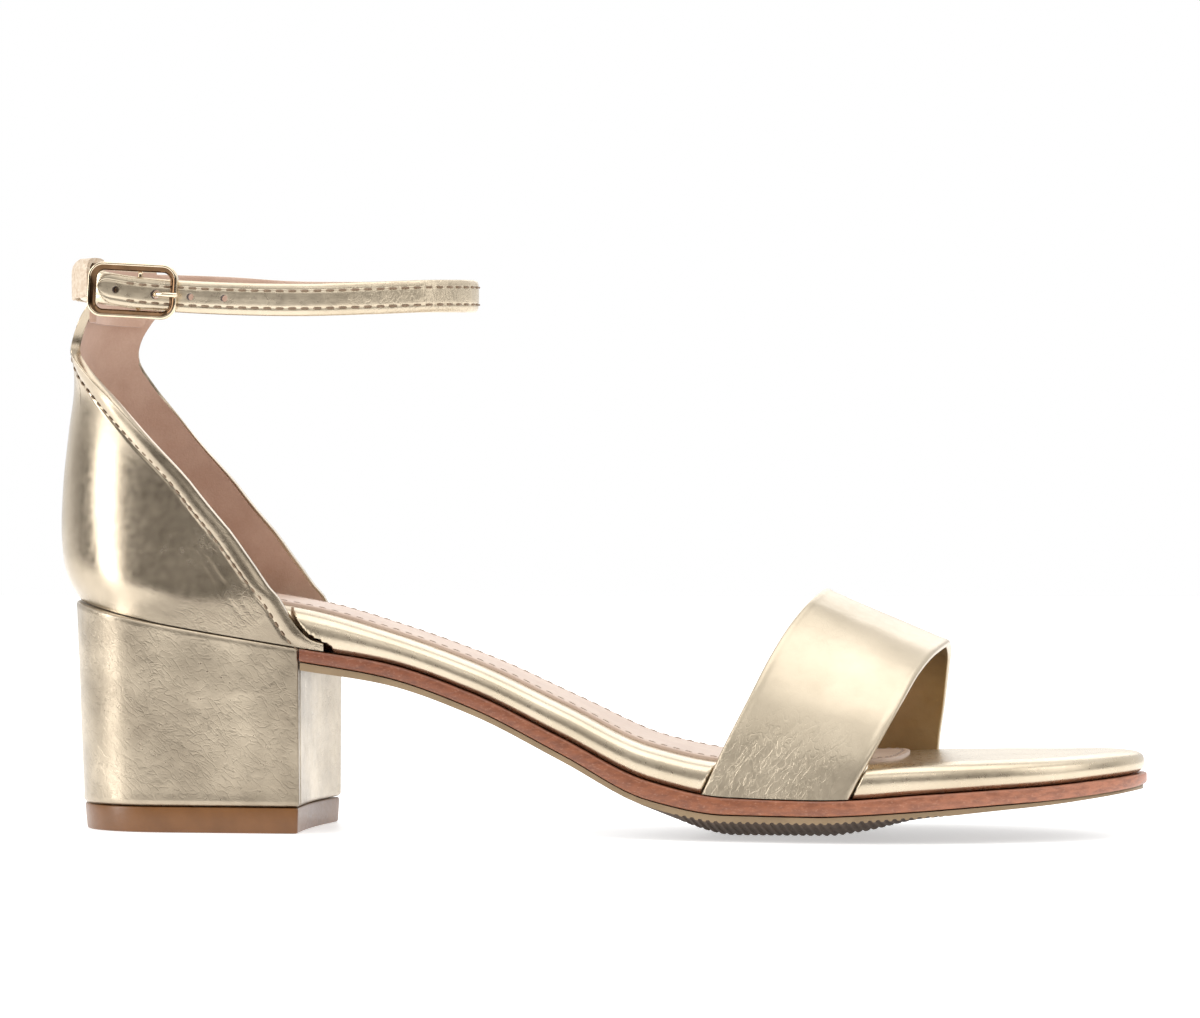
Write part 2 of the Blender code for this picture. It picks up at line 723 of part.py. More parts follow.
def add_vamp(finish, parent):
    turns = np.linspace(0, 180, 31)
    names = ("rear_x", "rear_y", "rear_z", "front_x", "front_y", "front_z")
    edges = {name: [smooth(column(VAMP, "turn"), column(VAMP, name), turn) for turn in turns] for name in names}
    rear = np.column_stack([edges[f"rear_{axis}"] for axis in "xyz"])
    front = np.column_stack([edges[f"front_{axis}"] for axis in "xyz"])
    across = np.linspace(0, 1, 6)[None, :, None]
    outside = rear[:, None] + (front - rear)[:, None] * across
    # near its ends the band bends to the sole's outline and lies on the parting line
    for end, name, sign, weight in (
        (0, "outer", -1, 1 - ease(0, 65, turns)),
        (-1, "inner", 1, ease(115, 180, turns)),
    ):
        half, parting = sole_half(name), height("rim")
        seat = [(x, sign * (half(x) - GAP), parting(x) + GAP) for x in outside[end, :, 0]]
        outside = outside + weight[:, None, None] * (np.array(seat) - outside[end])[None]
    along, over = np.gradient(outside, axis=0), np.gradient(outside, axis=1)
    normal = np.cross(over, along)
    normal /= np.linalg.norm(normal, axis=2)[:, :, None]
    if normal[len(turns) // 2, 0, 2] < 0:
        normal = -normal
    normal[[0, -1], :, 2] = 0.0
    normal /= np.linalg.norm(normal, axis=2)[:, :, None]
    inside = outside - VAMP_THICKNESS * normal
    forward = over / np.linalg.norm(over, axis=2)[:, :, None]
    middle = outside - 0.5 * VAMP_THICKNESS * normal
    rings = []
    for i in range(len(turns)):
        ring = [*outside[i], middle[i, -1] + 0.4 * forward[i, -1]]
        ring += [*inside[i][::-1], middle[i, 0] - 0.4 * forward[i, 0]]
        rings.append(ring)
    return add_piece("vamp_strap", *skin(rings, cap=flat_cap), finish, parent)


# The ankle strap and its buckle


def strap_path():
    """The strap's middle line as a closed curve that starts at the tunnel's outer end."""
    lie = 0.5 * STRAP_THICKNESS + GAP + 0.1
    tunnel = []
    for turn, z in TUNNEL_STRAP_Z:
        point = cup_point(math.radians(turn), COUNTER_TOP_Z, lie)
        tunnel.append((point[0], point[1], z))
    return closed_spline([*ANKLE_LOOP, *tunnel], 400)


def strap_frames(path):
    along = np.roll(path, -1, axis=0) - np.roll(path, 1, axis=0)
    along[:, 2] = 0.0
    along /= np.linalg.norm(along, axis=1)[:, None]
    return np.column_stack([along[:, 1], -along[:, 0], along[:, 2]])


def strap_place(x, out):
    """A point off the strap's middle line at a place x on the outer side, and the way out from it."""
    path = strap_path()
    outward = strap_frames(path)
    near = [i for i in range(len(path)) if path[i][1] < -17.0 and path[i][0] < 80.0]
    near.sort(key=lambda i: path[i][0])
    xs = path[near, 0]
    point = np.array([np.interp(x, xs, path[near, k]) for k in range(3)])
    way = np.array([np.interp(x, xs, outward[near, k]) for k in range(3)])
    way /= np.linalg.norm(way)
    return point + out * way, way


def holed_end_lift(x):
    return float(smooth(column(OVERLAP, "x"), column(OVERLAP, "out"), x))


def strap_profile():
    """The strap's section: a domed outer face, a flatter inner face and folded edges."""
    half, thick = 0.5 * STRAP_WIDTH, 0.5 * STRAP_THICKNESS
    return [
        (thick, 0.0),
        (0.92 * thick, 0.55 * half),
        (0.45 * thick, 0.92 * half),
        (-0.3 * thick, half),
        (-thick, 0.82 * half),
        (-thick, 0.0),
        (-thick, -0.82 * half),
        (-0.3 * thick, -half),
        (0.45 * thick, -0.92 * half),
        (0.92 * thick, -0.55 * half),
    ]


def add_ankle_strap(finish, parent):
    """One long strap: from the fold at the bar back through the tunnel, round the ankle, to its holed end."""
    path = strap_path()
    outward = strap_frames(path)
    start = BAR_X - BAR_RADIUS - GAP
    outer_side = (path[:, 1] < -17.0) & (path[:, 0] < 70.0)
    near_start = np.argmin(np.where(outer_side, abs(path[:, 0] - start), 999.0))
    near_tip = np.argmin(np.where(outer_side, abs(path[:, 0] - STRAP_TIP_X), 999.0))
    # the path runs forward on the outer side, so the strap follows it backwards
    count = len(path)
    whole = list(range(near_start, near_start - count, -1))
    lapped = list(range(near_start - count, near_tip - count - 1, -1))
    order = [i % count for i in whole + lapped]
    lifts = np.zeros(len(order))
    for n, i in enumerate(order):
        if n > count // 2 and path[i, 1] < -10.0:
            lifts[n] = holed_end_lift(path[i, 0])
    keep = sorted({*range(0, len(order) - 42, 6), *range(len(order) - 42, len(order), 3), len(order) - 1})
    points = np.array([path[order[n]] + lifts[n] * outward[order[n]] for n in keep])
    ways = np.array([outward[order[n]] for n in keep])
    up = np.tile((0.0, 0.0, 1.0), (len(keep), 1))
    rings = sweep(points, strap_profile(), ways, up)
    tip = rings[-1]
    centre = tip.mean(axis=0)
    step = points[-1] - points[-2]
    step /= np.linalg.norm(step)
    rounded = []
    for advance, share in ((1.6, 0.86), (2.6, 0.5)):
        shrunk = centre + (tip - centre) * (1.0, 1.0, share)
        rounded.append(shrunk + advance * step)
    strap = add_piece("ankle_strap", *skin([*rings, *rounded], cap=flat_cap), finish, parent)
    for k, x in enumerate((*HOLE_XS, PRONG_HOLE_X)):
        radius = PRONG_HOLE_RADIUS if x == PRONG_HOLE_X else HOLE_RADIUS
        lift = holed_end_lift(x)
        deep, way = strap_place(x, lift - 0.5 * STRAP_THICKNESS - 0.2)
        high, _ = strap_place(x, lift + 2.0)
        cutter = add_piece(f"punch_{k}", *skin(rod([deep, high], radius, 12), cap=flat_cap), None, parent)
        with_boolean(strap, cutter, "DIFFERENCE")
    return strap


def buckle_axes():
    """The buckle's middle, its axes (forward, up, out) and its length between the end rails."""
    clear = 0.5 * STRAP_THICKNESS + GAP + RAIL_RADIUS
    back, _ = strap_place(BUCKLE_BACK_X, holed_end_lift(BUCKLE_BACK_X) + clear)
    front, _ = strap_place(BUCKLE_FRONT_X, holed_end_lift(BUCKLE_FRONT_X) + clear)
    forward = front - back
    forward[2] = 0.0
    length = np.linalg.norm(forward)
    forward /= length
    out = np.array([forward[1], -forward[0], 0.0])
    up = np.array([0.0, 0.0, 1.0])
    middle = 0.5 * (back + front)
    turned = math.cos(BUCKLE_TILT) * forward + math.sin(BUCKLE_TILT) * up
    risen = math.cos(BUCKLE_TILT) * up - math.sin(BUCKLE_TILT) * forward
    return middle, turned, risen, out, length


def add_buckle_frame(finish, parent):
    middle, forward, up, out, length = buckle_axes()
    half_long, half_high = 0.5 * length, 0.5 * BUCKLE_HEIGHT - RAIL_RADIUS
    corner = BUCKLE_CORNER
    rings = []
    for turn0, a, b in ((0, 1, 1), (90, -1, 1), (180, -1, -1), (270, 1, -1)):
        for turn in np.radians(np.linspace(turn0, turn0 + 90, 6)):
            way = math.cos(turn) * forward + math.sin(turn) * up
            point = middle + a * (half_long - corner) * forward + b * (half_high - corner) * up + corner * way
            rings.append([point + away * way + rise * out for away, rise in RAIL_SECTION])
    frame = add_piece("buckle_frame", *skin(rings, closed=True), finish, parent)
    seat, _ = strap_place(BAR_X, 0.0)
    depth = float(np.dot(seat - middle, out))
    shift = float(np.dot(seat - middle, forward))
    legs = [(half_high, 0.0), (half_high, 0.6 * depth), (half_high - 0.5, 0.9 * depth), (half_high - 1.1, depth)]
    profile = legs + [(-y, z) for y, z in legs[::-1]]
    points = [middle + shift * forward + y * up + z * out for y, z in profile]
    bar = add_piece("centre_bar", *skin(rod(points, BAR_RADIUS, 8), cap=flat_cap), None, parent)
    with_boolean(frame, bar, "UNION")
    return frame


def add_prong(finish, parent):
    """The pin: from the bar under the holed end, up through its hole, and over the front rail."""
    clear = 0.5 * STRAP_THICKNESS + GAP + 2 * RAIL_RADIUS + GAP + PRONG_RADIUS
    over_rail = holed_end_lift(BUCKLE_FRONT_X) + clear
    route = [
        (BAR_X + BAR_RADIUS + GAP + 0.3, -0.25),
        (PRONG_HOLE_X - 2.2, -0.45),
        (PRONG_HOLE_X - 0.9, -0.4),
        (PRONG_HOLE_X - 0.15, 0.2),
        (PRONG_HOLE_X, 1.2),
        (PRONG_HOLE_X + 0.1, 2.3),
        (PRONG_HOLE_X + 0.7, 3.3),
        (BUCKLE_FRONT_X - 1.6, over_rail - 0.15),
        (BUCKLE_FRONT_X, over_rail),
        (BUCKLE_FRONT_X + 1.3, over_rail - 0.2),
    ]
    points = [strap_place(x, out)[0] for x, out in route]
    return add_piece("buckle_prong", *skin(rod(points, PRONG_RADIUS, 8), cap=flat_cap), finish, parent)


def main():
    for old in list(bpy.data.objects):
        bpy.data.objects.remove(old, do_unlink=True)
    shoe = bpy.data.objects.new("sandal", None)
    shoe.location = (-FOOTPRINT_MIDDLE[0] * MM, -FOOTPRINT_MIDDLE[1] * MM, 0.0)
    bpy.context.scene.collection.objects.link(shoe)

    gold = material("gold leather", (0.62, 0.53, 0.38), 0.32, 0.85)
    gold_metal = material("pale gold metal", (0.80, 0.66, 0.42), 0.12, 1.0)
    lining = material("pink beige lining", (0.56, 0.38, 0.29), 0.7)
    stacked = material("red brown sole edge", (0.30, 0.10, 0.05), 0.5)
    rubber = material("grey brown rubber", (0.20, 0.15, 0.11), 0.6)
    lift = material("brown top piece", (0.15, 0.07, 0.025), 0.45)

    add_top_piece(lift, shoe)
    add_heel_block(gold, shoe)
    add_outsole(rubber, shoe)
    add_midsole(stacked, shoe)
    add_footbed(gold, shoe)
    add_sock(lining, shoe)
    add_vamp(gold, shoe)
    add_counter(gold, shoe)
    add_ankle_strap(gold, shoe)
    add_buckle_frame(gold_metal, shoe)
    add_prong(gold_metal, shoe)


main()
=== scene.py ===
"""The look of the ankle strap sandal: leather, linings, stitches and polished metal over its solids.

Shapes are worked out in millimetres in the shoe's own frame: x forward from the back of the heel cup,
y inward from the centre line, z up from the floor. They are moved to the model's frame when made.
"""

import math
from collections import namedtuple

import bmesh
import bpy
import numpy as np
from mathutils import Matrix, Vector, noise


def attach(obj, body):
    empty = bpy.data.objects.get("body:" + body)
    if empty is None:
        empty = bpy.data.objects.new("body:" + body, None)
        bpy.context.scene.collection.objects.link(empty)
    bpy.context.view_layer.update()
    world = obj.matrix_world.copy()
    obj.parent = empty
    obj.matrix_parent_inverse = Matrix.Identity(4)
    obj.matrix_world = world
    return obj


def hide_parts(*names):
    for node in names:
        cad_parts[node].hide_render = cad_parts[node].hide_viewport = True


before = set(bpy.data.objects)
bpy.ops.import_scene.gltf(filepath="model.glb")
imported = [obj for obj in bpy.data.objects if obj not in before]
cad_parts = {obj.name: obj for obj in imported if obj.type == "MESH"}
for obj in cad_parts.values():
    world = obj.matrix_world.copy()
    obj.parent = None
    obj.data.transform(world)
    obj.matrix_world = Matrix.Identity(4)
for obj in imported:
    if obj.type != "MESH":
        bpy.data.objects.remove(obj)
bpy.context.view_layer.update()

MM = 0.001
ORIGIN = np.array([123.35, -1.05, 0.0])
LENGTH = 246.0
GAP = 0.3

# Sole and heel
BREAST_X = 61.0
BREAST_HOLLOW = 1.2
SOLE_START_X = BREAST_X + GAP
TOP_PIECE_HEIGHT = 5.7
HEEL_BACK_FLOOR = 6.9
HEEL_BACK_SEAT = 5.0
HEEL_OUTER = (24.0, 25.0)
HEEL_INNER = (20.8, 22.0)
HEEL_CORNER = 24.0
HEEL_SQUARENESS = 0.9
HEEL_EDGE_RADIUS = 0.8
TREAD_INSET = 0.8
TREAD_FLAT_SHARE = 0.3
RIB_PITCH = 1.75
RIB_DEPTH = 0.4
RIB_RANGE = (143.0, 206.0)

# Stitches: pitch, length, width
COUNTER_STITCH = (2.35, 1.5, 0.36)
STRAP_STITCH = (2.8, 2.0, 0.42)
SOCK_STITCH = (2.9, 2.0, 0.32)

# Footbed and sock
RIM_INSET = 0.4
VAMP_RECESS = 2.5
RECESS_EDGE = (0.45, 1.1)
SOCK_FRONT_X = 198.0
SOCK_MARGIN = 5.5
SOCK_THICKNESS = 0.6

# Heel counter and the tunnel at its top
COUNTER_WALL = 2.2
COUNTER_TAIL_WALL = 1.3
COUNTER_TOP_Z = 119.0
SEAM_DROP = 3.3
NECK_STEPS, EDGE_STEPS = 20, 76
TAIL_STEP = 1.6
TUNNEL_TOP_Z = 128.0
FLAP_THICKNESS = 1.0
FLAP_BOTTOM_Z = 119.3
TUNNEL_TURN = 34.0
NECK_TURN = -38.0
TUNNEL_END_X = 13.6

# Straps and buckle
VAMP_THICKNESS = 1.8
STRAP_WIDTH = 7.2
STRAP_THICKNESS = 1.8
STRAP_LIE = 0.5 * STRAP_THICKNESS + GAP + 0.1
STRAP_TIP_X = 18.6
OUTER_SIDE_Y = -17.0
HOLE_RADIUS = 0.8
PRONG_HOLE_RADIUS = 1.05
HOLE_XS = (19.8, 36.3, 43.9)
PRONG_HOLE_X = 28.6
BUCKLE_BACK_X = 15.5
BUCKLE_FRONT_X = 33.1
BAR_X = 24.3
BUCKLE_HEIGHT = 12.2
BUCKLE_CORNER = 2.8
BUCKLE_TILT = math.radians(-3.5)
RAIL_RADIUS = 0.75
BAR_RADIUS = 0.6
PRONG_RADIUS = 0.55


def table(names, *rows):
    """Rows of numbers whose columns have names."""
    row_type = namedtuple("Row", names)
    return [row_type(*row) for row in rows]


def column(rows, name):
    return [getattr(row, name) for row in rows]


SOLE = table(
    "x outer inner top rim edge side middle",
    # place, half widths, heights of: footbed top, parting line, midsole, outsole side, outsole middle
    (0, 0, 0, 56.2, 52.9, 50.4, 48.4, 48.2),
    (12, 18.5, 17.5, 55.4, 49.9, 47.4, 45.4, 45.2),
    (25, 23.5, 22, 54.4, 47, 44.5, 42.5, 42.2),
    (40, 25.2, 23, 52.8, 44.3, 41.7, 39.7, 39.4),
    (61, 25.3, 22.5, 49.6, 40.9, 38.2, 36.2, 35.8),
    (80, 25, 19.5, 44.4, 37.8, 34.9, 33.2, 33),
    (100, 26, 17.5, 37.4, 31.2, 28.1, 26.5, 26.2),
    (120, 28.5, 18, 28.4, 21.8, 18.4, 16.8, 16.3),
    (140, 32.5, 22.5, 19.6, 12.6, 8.7, 7.1, 5),
    (157, 35.9, 28.5, 16.6, 9.4, 5.9, 4, 0),
    (177, 38.6, 34.9, 16.45, 9.05, 5.8, 4, 0),
    (184, 38.8, 36.1, 16.6, 9.25, 6.1, 4.4, 0.9),
    (198, 37.2, 36.6, 17.2, 10.3, 7, 5.4, 4.1),
    (214, 32.2, 34.4, 17.6, 11.3, 8.2, 6.9, 6.1),
    (226, 26, 30, 17.9, 12, 9, 8, 7.5),
    (236, 18.2, 23.2, 18.4, 12.9, 10, 9.2, 8.7),
    (243, 8.8, 14.6, 18.8, 13.5, 10.9, 10.1, 9.8),
    (246, -3, 3, 19, 13.8, 11.4, 10.5, 10.3),
)

CUP = table(
    "z back half reach turn",
    # height, back of the cup, half width, depth of its round back, turn of the section in degrees
    (40, 5.3, 24.2, 31, 0),
    (51.8, 5.2, 24.2, 31, 0.3),
    (54, 3.6, 24, 31.5, 0.4),
    (57.5, 1.9, 23.4, 32.5, 0.6),
    (62, 1, 22.6, 33.5, 0.9),
    (68.5, 0.65, 21.6, 34.5, 1.5),
    (77, 0.95, 20.3, 34.5, 2.5),
    (90, 2.6, 18.7, 30, 6),
    (97, 4, 18.8, 28, 9),
    (103, 5.1, 20.5, 26, 13.5),
    (108, 6, 23, 25, 18),
    (111, 6.9, 23, 25, 19),
    (115, 8.6, 23, 25, 20),
    (119, 10.6, 23, 25, 20),
    (131, 10.6, 23, 25, 20),
)

TOPLINE = table(
    "z x",
    # the counter's cut edge from its neck down to its tails, half way between the two sides
    (119, 16.5), (115, 13.4), (111, 11.2), (107, 10.4), (103, 13.2), (97, 18.6),
    (90, 25.3), (77, 36.5), (61, 49.6), (53, 55.4), (47, 59.4), (44.2, 61.6),
    (42.5, 63.8), (41.7, 66.5),
)

VAMP = table(
    "turn rear_x rear_y rear_z front_x front_y front_z",
    # the toe band's two edges, from its outer end over the instep to its inner end
    (0, 152, -34.6, 10.2, 183.2, -38.4, 9.6),
    (12, 156.8, -33.9, 20.7, 187.4, -37.4, 17.6),
    (25, 161.5, -31.2, 30.3, 191.1, -34.5, 24.8),
    (40, 165.9, -25.8, 39.7, 194.7, -28.7, 31.8),
    (55, 169.8, -18.2, 46.9, 197.5, -20.5, 37.2),
    (70, 173.2, -8.6, 51.8, 200.2, -10, 40.9),
    (90, 175.2, 6, 54.2, 202.1, 7, 42.7),
    (110, 174.9, 17, 51.6, 201.9, 18.5, 40.9),
    (130, 173.4, 24.6, 45, 200.8, 27, 35.7),
    (150, 170.8, 29.2, 34, 199.4, 33, 27.5),
    (168, 167.4, 31.2, 20.5, 198, 35.8, 18),
    (180, 165.5, 31.2, 9.7, 197.7, 36.3, 10.7),
)

FOOTBED_RIM = table(
    "rise inset tuck tail",
    # share of the height, how far the side is moved in, how much further inside the counter, and the
    # x where it comes out in front of the counter's sloping edge
    (0, 1.4, 2.2, 67.4),
    (0.14, 0.5, 1.8, 67),
    (0.4, 0.1, 1, 61.8),
    (0.68, 0.4, 0.2, 59.5),
    (0.88, 1.7, 0, 58.3),
    (1, 4.4, 0, 57.6),
)

BAND_ENDS = table(
    "side rear rear_lean front front_lean",
    # the toe band's edges beside the footbed, and how far they lean forward over its height
    (-1, VAMP[0].rear_x, 3, VAMP[0].front_x, 3.6),
    (1, VAMP[-1].rear_x, 1.3, VAMP[-1].front_x, 0.3),
)

ANKLE_LOOP = table(
    "x y z",
    # the free part of the ankle strap's middle line, from the tunnel's outer end round the front
    (15.4, -21.1, 121.4), (25, -22.1, 119.7), (42, -22.6, 118.5), (60, -22, 118), (76, -19.6, 118.4),
    (88, -14, 119.1), (94.4, -6, 119.6), (95.9, 1.5, 120), (93, 9, 120.4), (84, 15.5, 120.9),
    (68, 19.4, 121.2), (50, 20.6, 121.6), (35, 18.8, 122.6),
)
TUNNEL_STRAP_Z = ((40, 122.9), (20, 122.8), (0, 122.8), (-20, 122.7), (-40, 122.5))

OVERLAP = table(
    "x out",
    # how far the holed end stands out from the strap's middle line as it runs back through the buckle
    (12, 2.3), (19.5, 2.25), (BAR_X, 1.9), (28.8, 1.3),
    (BUCKLE_FRONT_X, 0.75), (39, 0.2), (44, 0),
)


def smooth(keys, values, at):
    """A smooth curve through the points that never swings past them (a monotone cubic)."""
    keys, values = np.asarray(keys, float), np.asarray(values, float)
    step = np.diff(keys)
    rise = np.diff(values) / step
    slope = np.concatenate([rise[:1], np.zeros(len(rise) - 1), rise[-1:]])
    for i in range(1, len(rise)):
        if rise[i - 1] * rise[i] > 0:
            before, after = 2 * step[i] + step[i - 1], step[i] + 2 * step[i - 1]
            slope[i] = (before + after) / (before / rise[i - 1] + after / rise[i])
    at = np.clip(at, keys[0], keys[-1])
    i = np.clip(np.searchsorted(keys, at) - 1, 0, len(step) - 1)
    t = (at - keys[i]) / step[i]
    return (
        values[i] * (1 + 2 * t) * (1 - t) ** 2
        + step[i] * slope[i] * t * (1 - t) ** 2
        + values[i + 1] * t * t * (3 - 2 * t)
        - step[i] * slope[i + 1] * t * t * (1 - t)
    )


def ease(start, end, at):
    """0 before the start, 1 after the end, and a soft step between them."""
    t = np.clip((at - start) / (end - start), 0, 1)
    return t * t * (3 - 2 * t)


def unit(vectors):
    return vectors / np.maximum(np.linalg.norm(vectors, axis=-1, keepdims=True), 1e-9)


def distances(points):
    """How far along a line of points each of them lies."""
    return np.concatenate([[0], np.cumsum(np.linalg.norm(np.diff(points, axis=0), axis=1))])


def between(at, keys, points):
    """The points at places between the keys of a line of points."""
    return np.stack([np.interp(at, keys, points[:, k]) for k in range(points.shape[1])], axis=-1)


def resample(points, count, closed=False):
    """Evenly spread points along a line of points."""
    points = np.asarray(points, float)
    if closed:
        points = np.vstack([points, points[:1]])
    run = distances(points)
    return between(np.linspace(0, run[-1], count, endpoint=not closed), run, points)


def closed_spline(points, count):
    """Evenly spread points on a smooth closed curve through the given ones."""
    points = np.asarray(points, float)
    n = len(points)
    fine = []
    for i in range(n):
        before, here, there, after = (points[(i + k) % n] for k in (-1, 0, 1, 2))
        for t in np.linspace(0, 1, 24, endpoint=False):
            fine.append(
                here
                + 0.5 * t * (there - before)
                + t * t * (before - 2.5 * here + 2 * there - 0.5 * after)
                + t**3 * (1.5 * here - 1.5 * there + 0.5 * after - 0.5 * before)
            )
    return resample(fine, count, closed=True)


# Materials


STREAK_SCALE = (420, 800, 1000)


class Graph:
    """A tree of shader nodes, with short calls for the ones used here."""

    def __init__(self, tree):
        self.tree = tree

    def node(self, kind, inputs=(), **settings):
        made = self.tree.nodes.new(kind)
        for key, value in settings.items():
            setattr(made, key, value)
        for key, value in dict(inputs).items():
            self.plug(made.inputs[key], value)
        return made

    def plug(self, socket, value):
        if isinstance(value, bpy.types.NodeSocket):
            self.tree.links.new(value, socket)
        else:
            socket.default_value = value

    def levels(self, value, low, high, to_low=0, to_high=1):
        inputs = {"Value": value, "From Min": low, "From Max": high, "To Min": to_low, "To Max": to_high}
        return self.node("ShaderNodeMapRange", inputs).outputs["Result"]

    def math(self, operation, a, b):
        return self.node("ShaderNodeMath", {0: a, 1: b}, operation=operation).outputs[0]

    def mix(self, factor, a, b):
        """A blend of two colours, each a socket or (red, green, blue)."""
        a, b = ((*colour, 1) if isinstance(colour, tuple) else colour for colour in (a, b))
        return self.node("ShaderNodeMix", {0: factor, 6: a, 7: b}, data_type="RGBA").outputs[2]

    def ramp(self, factor, *stops):
        made = self.node("ShaderNodeValToRGB", {"Fac": factor})
        elements = made.color_ramp.elements
        while len(elements) < len(stops):
            elements.new(0.5)
        for element, (place, colour) in zip(elements, stops):
            element.position, element.color = place, (*colour, 1)
        return made.outputs["Color"]


class Surface(Graph):
    """The nodes of a material, with sizes in millimetres."""

    def __init__(self, name, roughness=0.5, metallic=0, coat=0, coat_roughness=0.1, sheen=0):
        self.material = bpy.data.materials.new(name)
        self.material.use_nodes = True
        super().__init__(self.material.node_tree)
        self.shader = self.tree.nodes["Principled BSDF"].inputs
        self.shader["Roughness"].default_value = roughness
        self.shader["Metallic"].default_value = metallic
        self.shader["Coat Weight"].default_value = coat
        self.shader["Coat Roughness"].default_value = coat_roughness
        self.shader["Sheen Weight"].default_value = sheen
        self.place = self.node("ShaderNodeTexCoord").outputs["Object"]

    def stretched(self, *scale):
        """The place in millimetres, scaled along each axis."""
        scale = tuple(s / MM for s in scale)
        return self.node("ShaderNodeMapping", {"Vector": self.place, "Scale": scale}).outputs["Vector"]

    def noise(self, size, detail=3, distortion=0, vector=None):
        """Noise with features of a size in millimetres."""
        inputs = {"Vector": self.stretched(1, 1, 1) if vector is None else vector, "Scale": 1 / size}
        inputs |= {"Detail": detail, "Distortion": distortion}
        return self.node("ShaderNodeTexNoise", inputs).outputs["Fac"]

    def cells(self, size, bend=0):
        """Cells of a size in millimetres, bent by noise."""
        vector = self.stretched(1, 1, 1)
        if bend:
            shift = self.node("ShaderNodeTexNoise", {"Vector": vector, "Scale": 0.6 / size, "Detail": 3})
            inputs = {0: shift.outputs["Color"], 1: (bend,) * 3}
            scaled = self.node("ShaderNodeVectorMath", inputs, operation="MULTIPLY").outputs[0]
            vector = self.node("ShaderNodeVectorMath", {0: vector, 1: scaled}, operation="ADD").outputs[0]
        return self.node("ShaderNodeTexVoronoi", {"Vector": vector, "Scale": 1 / size}).outputs["Distance"]

    def streaks(self, size, turn):
        """Thin winding creases that run one way on the side of the shoe: 0 in a crease, 1 between them."""
        turned = self.node("ShaderNodeMapping", {"Vector": self.place, "Rotation": (0, turn, 0)})
        drawn = self.node("ShaderNodeMapping", {"Vector": turned.outputs["Vector"], "Scale": STREAK_SCALE})
        value = self.noise(size, 1, 0.6, drawn.outputs["Vector"])
        return self.levels(self.math("ABSOLUTE", self.math("SUBTRACT", value, 0.5), 0), 0, 0.05)

    def finish(self, colour, layers, rough=None):
        """The material with its colour, its layers of (height, depth in millimetres) and its roughness."""
        self.plug(self.shader["Base Color"], colour)
        if rough is not None:
            self.plug(self.shader["Roughness"], rough)
        normal = None
        for height, depth in layers:
            inputs = {"Height": height, "Distance": depth * MM, "Strength": 1}
            if normal is not None:
                inputs["Normal"] = normal
            normal = self.node("ShaderNodeBump", inputs).outputs["Normal"]
        self.plug(self.shader["Normal"], normal)
        return self.material


def foil_leather(name, light, dark, grain=1, roughness=(0.25, 0.33), turn=-0.8):
    """Metallic foil on soft leather: broad soft folds, a fine grain, and thin creases where it is worn,
    darkened in colour as painted shade.
    """
    g = Surface(name, metallic=0.94, coat=0.12, coat_roughness=0.2)
    wear_and_crease_shade = g.node("ShaderNodeAttribute", attribute_name="wear_and_crease_shade").outputs["Fac"]
    creases, fine = g.streaks(1.7, turn), g.streaks(0.9, turn + 0.4)
    colour = g.mix(g.levels(g.noise(14, 4), 0.3, 0.7), light, dark)
    # painted shade: the worn creases are darkened towards half the deep gold
    line = g.math("MULTIPLY", g.levels(creases, 0, 1, 0.22, 0), wear_and_crease_shade)
    layers = [
        (g.noise(11, 2, 0.6), 0.22 * grain),
        (g.noise(2.6, 3, 0.4), 0.022 * grain),
        (g.math("MULTIPLY", creases, wear_and_crease_shade), 0.035),
        (g.math("MULTIPLY", fine, wear_and_crease_shade), 0.02),
        (g.noise(0.4), 0.006),
    ]
    rough = g.math("ADD", g.levels(g.noise(1.6, 5), 0.3, 0.7, *roughness), g.math("MULTIPLY", wear_and_crease_shade, 0.05))
    return g.finish(g.mix(line, colour, tuple(0.5 * c for c in dark)), layers, rough)


def soft_lining(name, light, dark, roughness=0.82):
    g = Surface(name, roughness=roughness, sheen=0.25)
    cloud = g.math("ADD", g.noise(9, 4), g.math("MULTIPLY", g.noise(0.5, 2), 0.35))
    layers = [(g.noise(7, 2), 0.12), (g.noise(0.35), 0.035), (g.cells(0.45), 0.02)]
    return g.finish(g.mix(g.levels(cloud, 0.45, 0.9), light, dark), layers)


def sock_leather():
    g = Surface("sock leather", coat=0.08, coat_roughness=0.4)
    colour = g.mix(g.levels(g.noise(12, 4), 0.3, 0.7), (0.68, 0.53, 0.43), (0.60, 0.45, 0.36))
    layers = [(g.noise(8, 2), 0.1), (g.cells(0.7, bend=0.4), 0.02), (g.noise(0.3, 2), 0.012)]
    return g.finish(colour, layers, g.levels(g.noise(1.2, 4), 0.3, 0.7, 0.42, 0.58))


def stacked_edge():
    """The painted edge of the midsole: red-brown and speckled, paler towards the toe."""
    g = Surface("stacked edge", coat=0.25, coat_roughness=0.25)
    layers = g.noise(1.1, 5, vector=g.stretched(0.45, 0.45, 1.3))
    speck = g.noise(0.5, 4, vector=g.stretched(0.7, 0.7, 1.5))
    along = g.node("ShaderNodeSeparateXYZ", {"Vector": g.stretched(1, 1, 1)}).outputs["X"]
    stops = ((0, (0.22, 0.066, 0.028)), (0.55, (0.31, 0.102, 0.042)), (1, (0.50, 0.20, 0.115)))
    base = g.ramp(g.levels(along, -60, 122), *stops)
    dark = g.mix(g.levels(layers, 0.35, 0.6, 0.45, 0), base, (0.10, 0.03, 0.016))
    colour = g.mix(g.levels(speck, 0.55, 0.75, 0, 0.45), dark, (0.55, 0.28, 0.18))
    return g.finish(colour, [(layers, 0.04), (speck, 0.03)], g.levels(layers, 0.3, 0.7, 0.36, 0.55))


def rubber(name, light, dark, roughness=(0.4, 0.55), coat=0):
    g = Surface(name, coat=coat, coat_roughness=0.3)
    colour = g.mix(g.levels(g.noise(6, 5), 0.35, 0.7), light, dark)
    layers = [(g.noise(3), 0.04), (g.noise(0.25), 0.015)]
    return g.finish(colour, layers, g.levels(g.noise(0.8, 4), 0.3, 0.7, *roughness))


